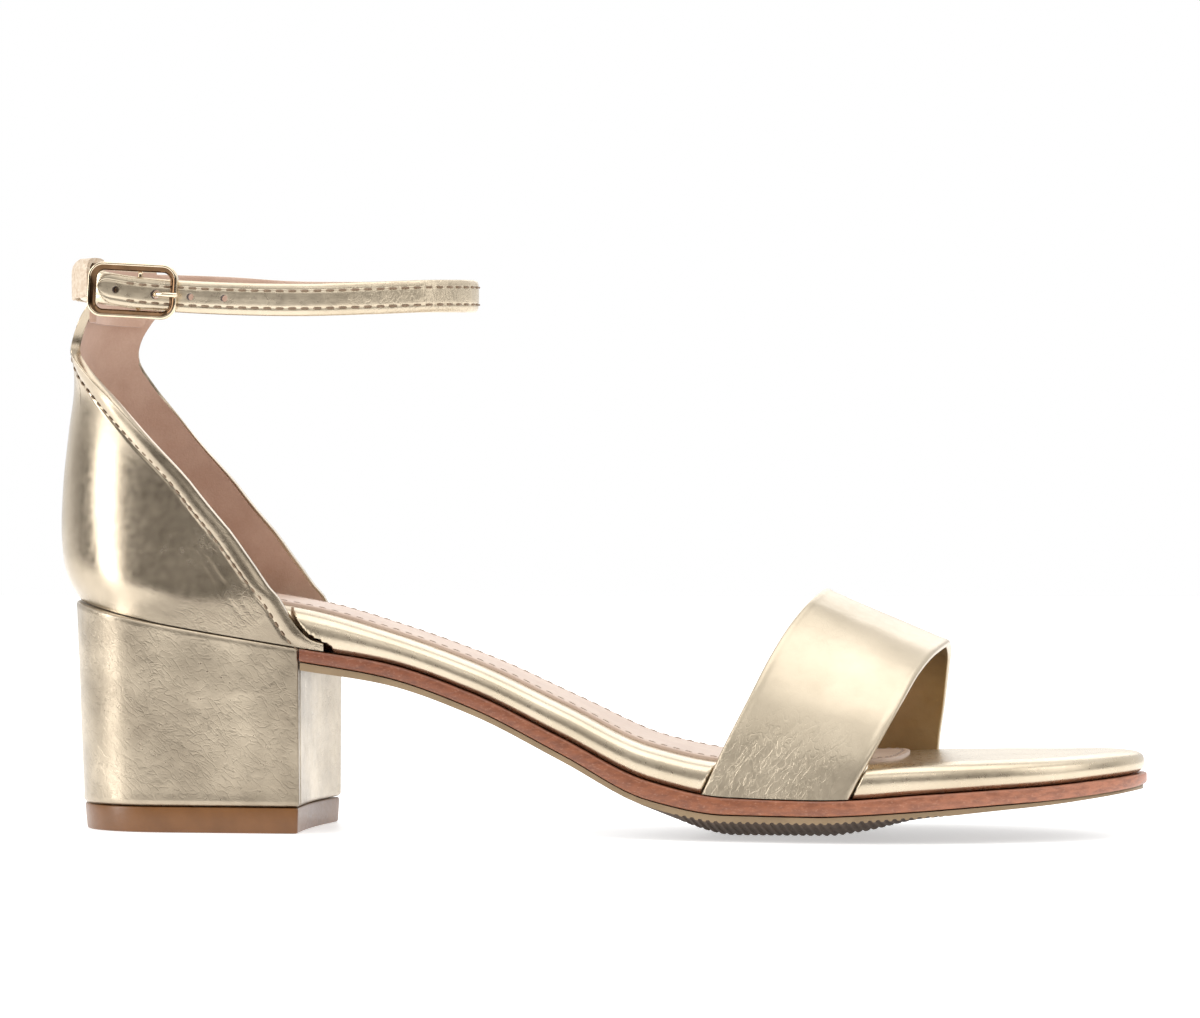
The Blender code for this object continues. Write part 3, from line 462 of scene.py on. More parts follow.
def polished_metal(name, light, dark):
    g = Surface(name, metallic=1)
    colour = g.mix(g.levels(g.noise(3, 4), 0.3, 0.7), light, dark)
    layers = [(g.noise(4, 1), 0.01), (g.noise(0.2, vector=g.stretched(0.3, 1, 1)), 0.0015)]
    return g.finish(colour, layers, g.levels(g.noise(0.6, 5), 0.3, 0.7, 0.06, 0.14))


def thread_material(name, dark, light):
    g = Surface(name, roughness=0.6, sheen=0.2)
    inputs = {"Vector": g.stretched(1, 1, 1), "Scale": 2.2, "Distortion": 2}
    twist = g.node("ShaderNodeTexWave", inputs, bands_direction="DIAGONAL").outputs["Fac"]
    return g.finish(g.mix(twist, dark, light), [(twist, 0.03)])


def raw_edge():
    """Cut leather and foil where it is turned and glued: pale, matt and uneven."""
    g = Surface("raw edge", metallic=0.25)
    fray = g.noise(0.9, 6, 0.5)
    colour = g.mix(g.levels(fray, 0.35, 0.7), (0.74, 0.63, 0.50), (0.55, 0.42, 0.30))
    return g.finish(colour, [(fray, 0.05), (g.noise(0.3), 0.015)], g.levels(fray, 0.3, 0.7, 0.5, 0.75))


LIGHT_GOLD, DEEP_GOLD = (0.70, 0.60, 0.455), (0.60, 0.505, 0.37)
GOLD = foil_leather("gold foil leather", LIGHT_GOLD, DEEP_GOLD, grain=0.5)
# painted shade: the same gold foil, darkened for the counter
SHADED_GOLD_COUNTER = foil_leather(
    "gold foil on the counter", (0.58, 0.49, 0.37), (0.44, 0.365, 0.27), grain=0.4, roughness=(0.2, 0.27)
)
# painted shade: the same gold foil, darkened for the heel block
SHADED_GOLD_HEEL = foil_leather("gold foil on the heel", (0.60, 0.51, 0.385), (0.35, 0.29, 0.215), turn=-0.7)
GOLD_BAND = foil_leather(
    "gold foil on the toe band", (0.63, 0.54, 0.41), (0.53, 0.45, 0.335), 0.5, roughness=(0.3, 0.37), turn=1
)
GOLD_STRAP = foil_leather("gold foil on the ankle strap", LIGHT_GOLD, DEEP_GOLD, turn=1.35)
# painted shade: the same gold foil, darker and browner for the band's inner face
SHADED_GOLD_INSIDE = foil_leather("gold foil inside", (0.60, 0.46, 0.28), (0.46, 0.34, 0.19), 1, (0.3, 0.42))
LINING = soft_lining("pink beige lining", (0.58, 0.40, 0.31), (0.47, 0.30, 0.22))
SOCK = sock_leather()
STACKED = stacked_edge()
SOLE_RUBBER = rubber("sole rubber", (0.33, 0.23, 0.13), (0.26, 0.18, 0.10))
TREAD_RUBBER = rubber("tread rubber", (0.09, 0.055, 0.033), (0.06, 0.037, 0.022), (0.75, 0.9))
LIFT_RUBBER = rubber("top piece rubber", (0.215, 0.088, 0.024), (0.175, 0.070, 0.018), (0.3, 0.4), coat=0.2)
METAL = polished_metal("polished pale gold", (0.86, 0.73, 0.55), (0.78, 0.64, 0.46))
# near-black gold for the buckle's chamfer: a painted dark reflection, not the metal's own colour
METAL_PAINTED_DARK_REFLECTION = polished_metal("shaded gold bevel", (0.17, 0.095, 0.05), (0.10, 0.058, 0.03))
THREAD = thread_material("stitch thread", (0.19, 0.12, 0.072), (0.29, 0.195, 0.12))
SOCK_THREAD = thread_material("sock thread", (0.42, 0.31, 0.24), (0.54, 0.42, 0.34))
RAW = raw_edge()
HOLE = soft_lining("hole wall", (0.16, 0.10, 0.07), (0.10, 0.06, 0.04), roughness=0.9)


# Meshes

Part = namedtuple("Part", "points faces slots")


def joined(*parts):
    """Several parts as one."""
    points, faces, slots, start = [], [], [], 0
    for part in parts:
        points.append(np.asarray(part.points, float))
        faces += [tuple(start + i for i in face) for face in part.faces]
        slots += list(part.slots)
        start += len(part.points)
    return Part(np.vstack(points), faces, slots)


def show(name, data):
    """A new object in the scene."""
    made = bpy.data.objects.new(name, data)
    bpy.context.scene.collection.objects.link(made)
    return made


def show_part(name, part, finishes):
    """A new object from a part in millimetres."""
    mesh = bpy.data.meshes.new(name)
    mesh.from_pydata(((part.points - ORIGIN) * MM).tolist(), [], part.faces)
    for finish in finishes:
        mesh.materials.append(finish)
    return show(name, mesh)


def add_piece(name, part, finishes, node=None, wear_and_crease_shade=None, sharp=50):
    """One shown piece: the node it stands for, how worn its points are and how much painted shade their
    creases get, the angle of its sharp edges.
    """
    piece = show_part(name, part, finishes)
    mesh = piece.data
    mesh.polygons.foreach_set("material_index", list(part.slots))
    if wear_and_crease_shade is not None:
        # wear that creases the leather, which also sets how much painted shade its creases get
        layer = mesh.attributes.new("wear_and_crease_shade", "FLOAT", "POINT")
        layer.data.foreach_set("value", np.asarray(wear_and_crease_shade, float))
    work = bmesh.new()
    work.from_mesh(mesh)
    bmesh.ops.recalc_face_normals(work, faces=work.faces)
    work.to_mesh(mesh)
    work.free()
    mesh.shade_smooth()
    mesh.set_sharp_from_angle(angle=math.radians(sharp))
    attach(piece, "root")
    if node is not None:
        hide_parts(node)
    return piece


def grid_faces(count, size, wrap=True, closed=False):
    faces = []
    for i in range(count if closed else count - 1):
        here, there = i * size, (i + 1) % count * size
        for j in range(size if wrap else size - 1):
            k = (j + 1) % size
            faces.append((here + j, here + k, there + k, there + j))
    return faces


def skin(rings, closed=False, cap=None, slot=0):
    """A part made of rings of equal length, capped at its two ends."""
    rings = np.asarray(rings, float)
    count, size = rings.shape[:2]
    faces = grid_faces(count, size, closed=closed)
    if cap is not None:
        last = (count - 1) * size
        faces += [tuple(reversed(face)) for face in cap(size)]
        faces += [tuple(last + j for j in face) for face in cap(size)]
    return Part(rings.reshape(-1, 3), faces, [slot] * len(faces))


def strip_cap(size):
    """Faces that join each point of a ring to the one across from it."""
    steps = size // 2
    faces = []
    for i in range(steps):
        corners = (i, i + 1, 2 * steps - i - 1, (2 * steps - i) % size)
        faces.append(tuple(dict.fromkeys(corners)))
    return [face for face in faces if len(face) > 2]


def flat_cap(size):
    return [tuple(range(size))]


def two_sided(part, size, lined, rest=0):
    """A part of rings with finish 1 where a place round its rings is lined, and another everywhere else."""
    sides = len(part.points) - size
    slots = [1 if lined[i % size] else rest for i in range(sides)]
    return Part(part.points, part.faces, slots + [rest] * (len(part.faces) - sides))


def rod_rings(points, radii, sides=16):
    """Rings round a line of points, for a round rod."""
    points = np.asarray(points, float)
    radii = np.broadcast_to(radii, len(points)).tolist()
    tangents = unit(np.gradient(points, axis=0))
    seed = Vector((0, 0, 1)) if abs(tangents[0][2]) < 0.9 else Vector((1, 0, 0))
    across = Vector(tangents[0]).cross(seed).normalized()
    rings = []
    for point, tangent, radius in zip(points, tangents, radii):
        tangent = Vector(tangent)
        across = (across - tangent * across.dot(tangent)).normalized()
        over = tangent.cross(across)
        turns = [2 * math.pi * k / sides for k in range(sides)]
        rings.append([Vector(point) + radius * (math.cos(a) * across + math.sin(a) * over) for a in turns])
    return np.array(rings)


def stitch_row(path, outward, stitch, sink=0.25, slot=0):
    """Thread along a path: short rounded bars that dip into the leather at both ends."""
    pitch, length, width = stitch
    run = distances(path)
    count = max(int(run[-1] / pitch), 1)
    starts = (run[-1] - count * pitch) / 2 + pitch * (np.arange(count) + 0.5)
    parts = []
    along = np.linspace(-0.5, 0.5, 7)
    for middle in starts:
        at = middle + along * length
        rise = width * ((1 - (2 * along) ** 4) * 0.75 - sink)
        spine = between(at, run, path) + unit(between(at, run, outward)) * rise[:, None]
        radii = 0.5 * width * np.sqrt(np.clip(1.02 - (2 * along) ** 4, 0.02, 1))
        parts.append(skin(rod_rings(spine, radii, 7), cap=flat_cap, slot=slot))
    return joined(*parts)


# The sole's plan and heights


def height(name):
    """One of the sole's heights, as a function of x."""
    return lambda x: smooth(column(SOLE, "x"), column(SOLE, name), x)


def turn_of(x):
    """A measure along the sole that runs evenly round its two ends."""
    return np.arccos(np.clip(1 - 2 * np.asarray(x) / LENGTH, -1, 1))


def sole_half(side):
    """The sole's half width on one side, as a function of x."""
    keys = turn_of(column(SOLE, "x"))
    return lambda x: smooth(keys, column(SOLE, side), turn_of(x))


def stations(start, end, steps, extra=()):
    """Places along the shoe, closer together near the two ends."""
    spread = 0.5 * (1 - np.cos(np.linspace(0, math.pi, steps + 1)))
    return np.array(sorted({*(start + (end - start) * spread), *extra}))


def plan_ring(xs, outer, inner, inset, z, butt=False):
    """A ring at the plan outline, moved in by the inset. It runs forward outside, then back inside."""
    back = xs[-2::-1] if butt else xs[-2:0:-1]
    plan = np.concatenate([np.column_stack([xs, -outer(xs)]), np.column_stack([back, inner(back)])])
    along = np.roll(plan, -1, axis=0) - np.roll(plan, 1, axis=0)
    if butt:
        along[0] = plan[1] - plan[0]
        along[-1] = plan[-1] - plan[-2]
    along = unit(along)
    inward = np.stack([-along[:, 1], along[:, 0]], axis=1)
    moved = plan + inward * (inset(plan) if callable(inset) else inset)
    if butt:
        moved[:, 0] = np.maximum(moved[:, 0], xs[0])
        moved[[0, -1], 0] = xs[0]
    return np.column_stack([moved, z(moved[:, 0])])


# The counter's surface


def level(name, z):
    return smooth(column(CUP, "z"), column(CUP, name), z)


def cup_half(x, z, inset):
    """Half width of the counter's surface at x and height z, moved in by the inset."""
    forward = x - level("back", z) - inset
    reach, half = level("reach", z) - inset, level("half", z) - inset
    share = np.clip(1 - forward / reach, 0, 1)
    return half * np.sqrt(1 - share * share)


def cup_turn(x, z):
    """The angle round the cup at which its surface reaches x."""
    forward = x - level("back", z)
    reach = level("reach", z)
    if forward < reach:
        return math.acos(1 - max(forward, 0) / reach)
    return math.pi / 2 + (forward - reach) / reach


def cup_point(turn, z, out=0):
    """Points of the counter's outer surface: the turn is 0 at the back and negative on the outer side."""
    turn, z, out = np.broadcast_arrays(*(np.asarray(v, float) for v in (turn, z, out)))
    back, half, reach, twist = (level(name, z) for name in ("back", "half", "reach", "turn"))
    a = np.abs(turn)
    bent = a < math.pi / 2
    inside = np.minimum(a, math.pi / 2)
    forward = reach * (1 - np.cos(inside)) + np.where(bent, 0, reach * (a - math.pi / 2))
    sideways = half * np.sin(inside)
    x = forward - out * np.where(bent, np.cos(inside), 0)
    y = np.where(turn < 0, -1, 1) * (sideways + out * np.where(bent, np.sin(inside), 1))
    c, s = np.cos(np.radians(twist)), np.sin(np.radians(twist))
    return np.stack([back + x * c + y * s, y * c - x * s, z], axis=-1)


def seat_height(turn):
    """The height at which the counter stands on the midsole at a turn."""
    seat = height("rim")
    z = 45
    for _ in range(12):  # the seat slopes, so the place that the turn gives depends on the height
        z = float(seat(cup_point(turn, z)[0]))
    return z + GAP


def wave(points, size, seed=0):
    """Smooth noise at points in millimetres, for shapes rather than colour."""
    return np.array([noise.noise(Vector((p[0] / size + seed, p[1] / size, p[2] / size))) for p in points])


# Soles


def add_outsole():
    """The rubber: its side, and an underside with fine ribs across the ball."""
    fine = np.arange(*RIB_RANGE, RIB_PITCH / 6)
    xs = stations(SOLE_START_X, LENGTH, 90, fine)
    outer, inner = sole_half("outer"), sole_half("inner")
    top, side, middle = height("edge"), height("side"), height("middle")

    def ribs(x):
        phase = 0.5 - 0.5 * np.cos(2 * np.pi * x / RIB_PITCH)
        there = ease(RIB_RANGE[0], RIB_RANGE[0] + 6, x) * (1 - ease(RIB_RANGE[1] - 6, RIB_RANGE[1], x))
        return RIB_DEPTH * there * ease(0.25, 0.75, phase)

    levels = (lambda x: side(x) + ribs(x), lambda x: side(x) + 0.9, lambda x: top(x) - GAP)
    rings = [plan_ring(xs, outer, inner, TREAD_INSET, z, butt=True) for z in levels]
    body, edge = skin(rings), rings[0]
    size, half = len(edge), len(xs)
    lid = [tuple(2 * size + i for i in face) for face in strip_cap(size)]
    left, right = edge[:half], edge[half - 1 :][::-1]
    rows = []
    for share in np.linspace(-1, 1, 41):
        blend = (share + 1) / 2
        row = left * (1 - blend) + right * blend
        rise = np.clip((abs(share) - TREAD_FLAT_SHARE) / (1 - TREAD_FLAT_SHARE), 0, 1) ** 1.25
        row[:, 2] = middle(row[:, 0]) + (side(row[:, 0]) - middle(row[:, 0])) * rise + ribs(row[:, 0])
        rows.append(row)
    faces = grid_faces(len(rows), half, wrap=False)
    under = Part(np.vstack(rows), faces, [1] * len(faces))
    body = Part(body.points, body.faces + lid, body.slots + [0] * len(lid))
    add_piece("outsole_rubber", joined(body, under), [SOLE_RUBBER, TREAD_RUBBER], "outsole", sharp=35)


def add_midsole():
    top, bottom = height("rim"), height("edge")
    xs = stations(SOLE_START_X, LENGTH, 150)
    outer, inner = sole_half("outer"), sole_half("inner")

    def ring(inset, share, shift):
        def z(x):
            return bottom(x) + (top(x) - bottom(x)) * share + shift

        return plan_ring(xs, outer, inner, inset, z, butt=True)

    shape = ((0.5, 0, 0), (0.15, 0, 0.15), (0, 0, 0.5), (0, 0.5, 0))
    shape += ((0, 1, -0.45), (0.1, 1, -0.15), (0.4, 1, 0), (1.6, 1, 0))
    add_piece("midsole_edge", skin([ring(*row) for row in shape], cap=strip_cap), [STACKED], "midsole")


def rounded_plan(plan, corners, radius, steps=5):
    """A closed plan with some of its corners rounded."""
    made = []
    size = len(plan)
    for i, point in enumerate(plan):
        if i not in corners:
            made.append(point)
            continue
        point = np.array(point)
        before = unit(np.array(plan[i - 1]) - point)
        after = unit(np.array(plan[(i + 1) % size]) - point)
        for t in np.linspace(0, 1, steps):
            made.append(point + before * radius * (1 - t) ** 2 + after * radius * t**2)
    return np.array(made)


def heel_plan(rise, inset, seam=0):
    """The block heel's plan at a share of its height: outer side, round back, inner side, hollow breast."""
    back = HEEL_BACK_FLOOR + (HEEL_BACK_SEAT - HEEL_BACK_FLOOR) * rise + inset
    half = [low + (high - low) * rise - inset for low, high in (HEEL_OUTER, HEEL_INNER)]
    front = BREAST_X - inset
    sides = []
    for sign, width in ((-1, half[0]), (1, half[1])):
        side = [(x, sign * width) for x in (front, *np.linspace(59, 32, 14))]
        for turn in np.linspace(90, 0, 30):
            a = math.radians(turn)
            x = back + HEEL_CORNER * (1 - math.cos(a) ** HEEL_SQUARENESS)
            side.append((x, sign * width * math.sin(a) ** HEEL_SQUARENESS))
        sides.append(side)
    breast = []
    seam_y = -half[0] + 2.4
    shares = [(half[1] - y) / (half[0] + half[1]) for y in (seam_y + 0.35, seam_y, seam_y - 0.35)]
    for share in sorted([*np.linspace(0.06, 0.9, 16), *shares]):
        y = half[1] - share * (half[0] + half[1])
        dent = seam if abs(y - seam_y) < 0.1 else 0
        breast.append((front - BREAST_HOLLOW * math.sin(math.pi * share) - dent, y))
    plan = sides[0] + sides[1][-2::-1] + breast
    return rounded_plan(plan, (0, 2 * len(sides[0]) - 2), HEEL_EDGE_RADIUS)


def add_heel_block():
    seat = height("rim")
    low = TOP_PIECE_HEIGHT + GAP
    rings = []
    for share in np.linspace(0, 1, 60):
        plan = heel_plan(0.12 + 0.86 * share, 0.45 * (1 - ease(0, 0.012, share)), seam=0.35)
        top = seat(plan[:, 0]) - 0.8
        rings.append(np.column_stack([plan, low + (top - low) * share]))
    for drop, inset in ((0.35, 0.12), (0.08, 0.3), (0, 0.8)):
        plan = heel_plan(0.99, inset, seam=0.35)
        rings.append(np.column_stack([plan, seat(plan[:, 0]) - drop]))
    rings = np.array(rings)
    flat = rings.reshape(-1, 3)
    out = unit(np.column_stack([flat[:, 0] - 34, flat[:, 1] * 1.4, np.zeros(len(flat))]))
    swell = 0.1 * wave(flat * (1, 1, 0.55), 9) + 0.03 * wave(flat * (1, 1, 0.7), 3.5, 7)
    fade = ease(0, 3, flat[:, 2] - low) * ease(0.5, 3.5, seat(flat[:, 0]) - flat[:, 2])
    on_side = ease(2, 6, BREAST_X - flat[:, 0])
    flat += out * (swell * fade * on_side - 0.1 * fade * on_side)[:, None]
    wear_and_crease_shade = 0.45 + 0.4 * ease(-0.1, 0.5, wave(flat, 12, 3))
    part = skin(flat.reshape(rings.shape), cap=flat_cap)
    add_piece("heel_block_leather", part, [SHADED_GOLD_HEEL], "heel_block", wear_and_crease_shade=wear_and_crease_shade, sharp=60)


def add_top_piece():
    rings = []
    shape = ((0, 0, 1.3), (0, 0, 0.9), (0.15, 0, 0.62), (0.5, 0, 0.5), (2.6, 0.05, 0.4), (5.2, 0.1, 0.3))
    for z, rise, inset in (*shape, (5.55, 0.1, 0.38), (TOP_PIECE_HEIGHT, 0.1, 0.6)):
        plan = heel_plan(rise, inset)
        rings.append(np.column_stack([plan, np.full(len(plan), z)]))
    add_piece("heel_top_piece_rubber", skin(rings, cap=flat_cap), [LIFT_RUBBER], "heel_top_piece", sharp=40)


# Footbed and sock


def cup_floor_half(x):
    """Half width of the counter's inside at the footbed's top, with room for the footbed."""
    return cup_half(x, height("top")(x), COUNTER_WALL + 2 * GAP)


def vamp_recess(plan, rise):
    """How far the footbed's side is let in for the toe band beside it, at a share of its height."""
    depth = np.zeros(len(plan))
    near, far = RECESS_EDGE
    for end in BAND_ENDS:
        rear, front = end.rear + end.rear_lean * rise, end.front + end.front_lean * rise
        here = ease(rear - far, rear - near, plan[:, 0]) * (1 - ease(front + near, front + far, plan[:, 0]))
        depth += VAMP_RECESS * here * (plan[:, 1] * end.side > 0)
    return depth[:, None]


def add_footbed():
    top, parting = height("top"), height("rim")
    extra = [*np.arange(57, 69.4, 0.4)]
    for end in BAND_ENDS:
        extra += [*np.arange(end.rear - 1.3, end.rear + end.rear_lean, 0.3)]
        extra += [*np.arange(end.front + 0.2, end.front + end.front_lean + 1.4, 0.3)]
    start = float(level("back", 54.5)) + COUNTER_WALL + 2 * GAP
    xs = stations(start, LENGTH, 170, extra)
    around = np.array([*xs, *xs[-2:0:-1]])
    outer, inner = sole_half("outer"), sole_half("inner")

    def rim_ring(rise, inset, tuck, tail):
        def z(x):
            low = parting(x) + GAP + 1.6 * (1 - ease(4, 18, x))
            return low + (top(x) - low) * rise

        def free_inset(plan):
            return RIM_INSET + inset + vamp_recess(plan, rise)

        heel = plan_ring(xs, cup_floor_half, cup_floor_half, inset + tuck, z)
        free = plan_ring(xs, outer, inner, free_inset, z)
        return heel + (free - heel) * ease(tail, tail + TAIL_STEP, around)[:, None]

    rows = []
    keys = range(len(FOOTBED_RIM))
    for at in np.linspace(0, len(FOOTBED_RIM) - 1, 21):
        rows.append([smooth(keys, values, at) for values in zip(*FOOTBED_RIM)])
    rows += [(1, 5.4, 0, 57.6), (1, 7, 0, 57.6)]
    rings = np.array([rim_ring(*row) for row in rows])
    flat = rings.reshape(-1, 3)
    creased = ease(0, 0.6, wave(flat, 16, 5))
    wear_and_crease_shade = 0.1 + 0.4 * creased * ease(150, 75, flat[:, 0])
    add_piece("footbed_leather", skin(rings, cap=strip_cap), [GOLD], "footbed", wear_and_crease_shade=wear_and_crease_shade, sharp=60)


def sock_half(side):
    sole = sole_half(side)

    def width(x):
        heel, free = cup_floor_half(x), sole(x) - RIM_INSET - SOCK_MARGIN
        share = np.maximum((x - 150) / (SOCK_FRONT_X - 150), 0)
        return (heel + (free - heel) * ease(45, 72, x)) * np.maximum(1 - share**7, 0) ** (1 / 4)

    return width


def add_sock():
    top = height("top")
    start = float(level("back", 56)) + COUNTER_WALL + 2 * GAP + 0.3
    xs = stations(start, SOCK_FRONT_X, 150)
    full = GAP + SOCK_THICKNESS

    def ring(inset, rise):
        """The sock's outline, whose two sides meet behind the heel but never cross."""
        made = plan_ring(xs, sock_half("outer"), sock_half("inner"), inset, lambda x: top(x) + rise)
        made[: len(xs), 1] = np.minimum(made[: len(xs), 1], 0)
        made[len(xs) :, 1] = np.maximum(made[len(xs) :, 1], 0)
        return made

    # (inset, how far below the top): a rounded edge, and a groove for the seam
    shape = ((4.6, full - 0.02), (4.6, 0.3), (4.68, 0.12), (4.9, 0.02), (5.2, 0), (5.6, 0))
    shape += ((5.9, 0.1), (6.2, 0.12), (6.5, 0.1), (6.8, 0), (9, 0))
    body = skin([ring(inset, full - drop) for inset, drop in shape], cap=strip_cap)
    seam = ring(6.2, full - 0.12)
    seam = resample(seam[seam[:, 0] > start + 7.5], 900)
    up = np.tile((0, 0, 1), (len(seam), 1))
    row = stitch_row(seam, up, SOCK_STITCH, slot=1)
    add_piece("sock_lining", joined(body, row), [SOCK, SOCK_THREAD], "sock", sharp=60)


# Heel counter


def topline_points():
    """(turn, z) along the cut edge of one side: across half the neck, then down to the tail."""
    neck = cup_turn(TOPLINE[0].x, COUNTER_TOP_Z)
    across = [(neck * k / NECK_STEPS, COUNTER_TOP_Z) for k in range(NECK_STEPS)]
    run, down = np.linspace(0, 1, len(TOPLINE)), []
    for at in np.linspace(0, 1, EDGE_STEPS):
        z, x = (float(smooth(run, values, at)) for values in zip(*TOPLINE))
        down.append((cup_turn(x, z), z))
    # the cut edge turns softly where the neck widens into the cup
    down, places = np.array(down), np.arange(EDGE_STEPS)
    weights = np.hanning(13)[1:-1] / np.hanning(13).sum()
    spread = np.pad(down, ((5, 5), (0, 0)), mode="edge")
    softened = np.stack([np.convolve(values, weights, mode="valid") for values in spread.T], axis=1)
    weight = ease(0, 6, places) * ease(EDGE_STEPS - 1, EDGE_STEPS - 14, places)
    return np.array([*across, *(down + (softened - down) * weight[:, None])])


def seam_below(edge, side, drop):
    """A line that runs a set way inside the cut edge on one side, and the ways out from the leather."""
    turn, z = edge[NECK_STEPS:-3].T
    round_cup = np.linalg.norm(cup_point(turn + 0.01, z) - cup_point(turn - 0.01, z), axis=1) / 0.02
    along, down = np.gradient(turn) * round_cup, np.gradient(z)
    size = np.hypot(along, down)
    turn, z = turn + drop * down / size / round_cup, z - drop * along / size
    low = z < COUNTER_TOP_Z - 4.5
    turn, z = side * turn[low], z[low]
    path, ways = cup_point(turn, z, -0.22), cup_point(turn, z, 1) - cup_point(turn, z, 0)
    return resample(path, 300), unit(resample(ways, 300))


def add_counter():
    edge = topline_points()
    last = len(edge) - 1
    tail_turn = edge[-1][0]
    turns, zs, walls, ends = [], [], [], []
    # columns up the wall, from one tail round the back to the other
    for k in range(-last, last + 1):
        share, sign = abs(k) / last, -1 if k < 0 else 1
        low_turn = sign * tail_turn * share
        low_z = seat_height(low_turn)
        high_turn, high_z = sign * edge[abs(k)][0], max(edge[abs(k)][1], low_z + 0.8)
        wall = COUNTER_WALL + (COUNTER_TAIL_WALL - COUNTER_WALL) * ease(0.8, 1, share)
        span = np.linalg.norm(cup_point(high_turn, high_z) - cup_point(low_turn, low_z))
        near = min(12, 0.6 * span)
        down = np.concatenate([np.linspace(0, near, 45), np.linspace(near, span, 32)[1:]])
        t = 1 - down[::-1] / span
        turns.append(low_turn + (high_turn - low_turn) * t)
        zs.append(low_z + (high_z - low_z) * t)
        walls.append(wall)
        ends.append((high_turn, high_z))
    turns, zs, walls, ends = (np.array(rows) for rows in (turns, zs, walls, ends))
    # no column passes outside the cut edge where the neck widens
    limit_turns, limit_zs = edge[: NECK_STEPS - 1 : -1].T
    turns = np.sign(turns) * np.minimum(abs(turns), np.interp(zs, limit_zs, limit_turns))
    surface = cup_point(turns, zs)
    dense = resample(cup_point(*ends.T), 900)
    flat = surface.reshape(-1, 3)
    away = np.array([np.min(np.sum((dense - p) ** 2, axis=1)) for p in flat]) ** 0.5
    away = away.reshape(zs.shape)
    below_neck = zs <= COUNTER_TOP_Z - 4
    groove = -0.22 * np.exp(-(((away - SEAM_DROP) / 0.32) ** 2)) * below_neck
    bead = 0.2 * np.exp(-(((away - 1.6) / 1.2) ** 2)) * below_neck
    soft = 0.08 * wave(flat, 15, 11).reshape(zs.shape) * ease(4, 12, away)
    xs, ys = surface[..., 0], surface[..., 1]
    creased = ease(35, 39, xs) * ease(51, 47, xs) * (ys < 0)
    for far, depth in ((6.6, 0.08), (8.6, 0.05)):
        soft -= depth * np.exp(-(((away - far) / 0.6) ** 2)) * creased
    hem = ease(0, 2, zs - zs[:, :1])
    out = (groove + bead + soft) * hem - 0.12
    shown = cup_point(turns, zs, out)
    hidden = cup_point(turns, zs, -walls[:, None] + 0.1)
    rounding = ((0.04, 0.22), (0.2, 0.36), (0.5, 0.42), (0.8, 0.36), (0.96, 0.22))
    crown = np.stack([cup_point(*ends.T, -walls * drop) + (0, 0, rise) for drop, rise in rounding], axis=1)
    loops = np.concatenate([shown, crown, hidden[:, ::-1]], axis=1)
    places = np.arange(loops.shape[1])
    lined = (places >= shown.shape[1] + len(rounding) + 2) & (places < len(places) - 2)
    body = two_sided(skin(loops, cap=flat_cap), len(places), lined)
    rows = [stitch_row(*seam_below(edge, side, SEAM_DROP), COUNTER_STITCH, slot=2) for side in (-1, 1)]
    part = joined(body, tunnel_fold(), *rows)
    spots = part.points
    low_front = ease(20, 55, spots[:, 0]) * ease(80, 55, spots[:, 2])
    wear_and_crease_shade = 0.03 + 0.45 * low_front * ease(-0.2, 0.4, wave(spots, 10, 2))
    wear_and_crease_shade += 0.25 * ease(9, 2, abs(spots[:, 2] - 48)) * ease(30, 10, spots[:, 0])
    finishes = [SHADED_GOLD_COUNTER, LINING, THREAD, RAW]
    add_piece("heel_counter_leather", part, finishes, "heel_counter", wear_and_crease_shade=wear_and_crease_shade, sharp=60)


def tunnel_fold():
    """The neck's fold over the strap, with an uneven raw edge."""
    slot = STRAP_THICKNESS + 2 * GAP + 0.2
    inside, outside = -COUNTER_WALL + 0.15, slot + FLAP_THICKNESS
    top, low = TUNNEL_TOP_Z, FLAP_BOTTOM_Z

    def nearest(turn):
        point = cup_point(math.radians(turn), COUNTER_TOP_Z, STRAP_LIE)
        return int(np.argmin(np.linalg.norm(STRAP_PATH[:, :2] - point[:2], axis=1)))

    neck_end = nearest(NECK_TURN)
    last = max(i for i in range(neck_end, len(STRAP_PATH)) if STRAP_PATH[i, 0] < TUNNEL_END_X)
    keys = np.arange(len(STRAP_PATH))
    rings = []
    for n, at in enumerate(np.linspace(nearest(TUNNEL_TURN), last, 64)):
        foot = low
        if at < neck_end:  # the wall runs into the neck's cut edge at the fold's inner end
            foot += (COUNTER_TOP_Z - 5 - low) * float(ease(2, 7, n))
        step = max(foot, COUNTER_TOP_Z) + 0.3
        # up the wall's outer face, over the slot, round the flap, and down the wall's lined inner face
        profile = [(-0.3, foot), (-0.1, step), (-0.1, top - 2.1), (0.5, top - 1.2), (slot - 0.6, top - 1.2)]
        profile += [(slot, top - 2.1), (slot, low + 0.15), (slot + 0.3, low - 0.1)]
        profile += [(outside - 0.3, low - 0.1), (outside, low + 0.15), (outside, low + 2)]
        profile += [(outside + 0.1, low + 4), (outside, top - 2.6), (outside - 0.25, top - 1.5)]
        profile += [(outside - 0.8, top - 0.6), (outside - 1.5, top - 0.15), (outside - 2.4, top)]
        profile += [(inside + 1.4, top - 0.05), (inside + 0.5, top - 0.5), (inside, top - 1.5)]
        profile += [(inside, step), (-COUNTER_WALL + 0.4, foot)]
        place = between(at, keys, STRAP_PATH) * (1, 1, 0)
        way = unit(between(at, keys, STRAP_OUT))
        rough = noise.noise(Vector((0.35 * n, 0, 4)))
        ring = []
        for out, z in profile:
            lift = 0.45 * rough * (z < low + 0.4) * (out > slot - 0.1)
            lift += 0.25 * noise.noise(Vector((0.3 * n, 9, z))) * (z > top - 0.7)
            puff = 0.12 * noise.noise(Vector((0.22 * n, 0.4 * z, 2))) * (out > slot + 0.1)
            ring.append(place + (out + puff - STRAP_LIE) * way + (0, 0, z + min(lift, 0.35)))
        rings.append(ring)
    size = len(profile)
    return two_sided(skin(rings, cap=flat_cap), size, np.arange(size) >= size - 3, rest=3)


# Toe band

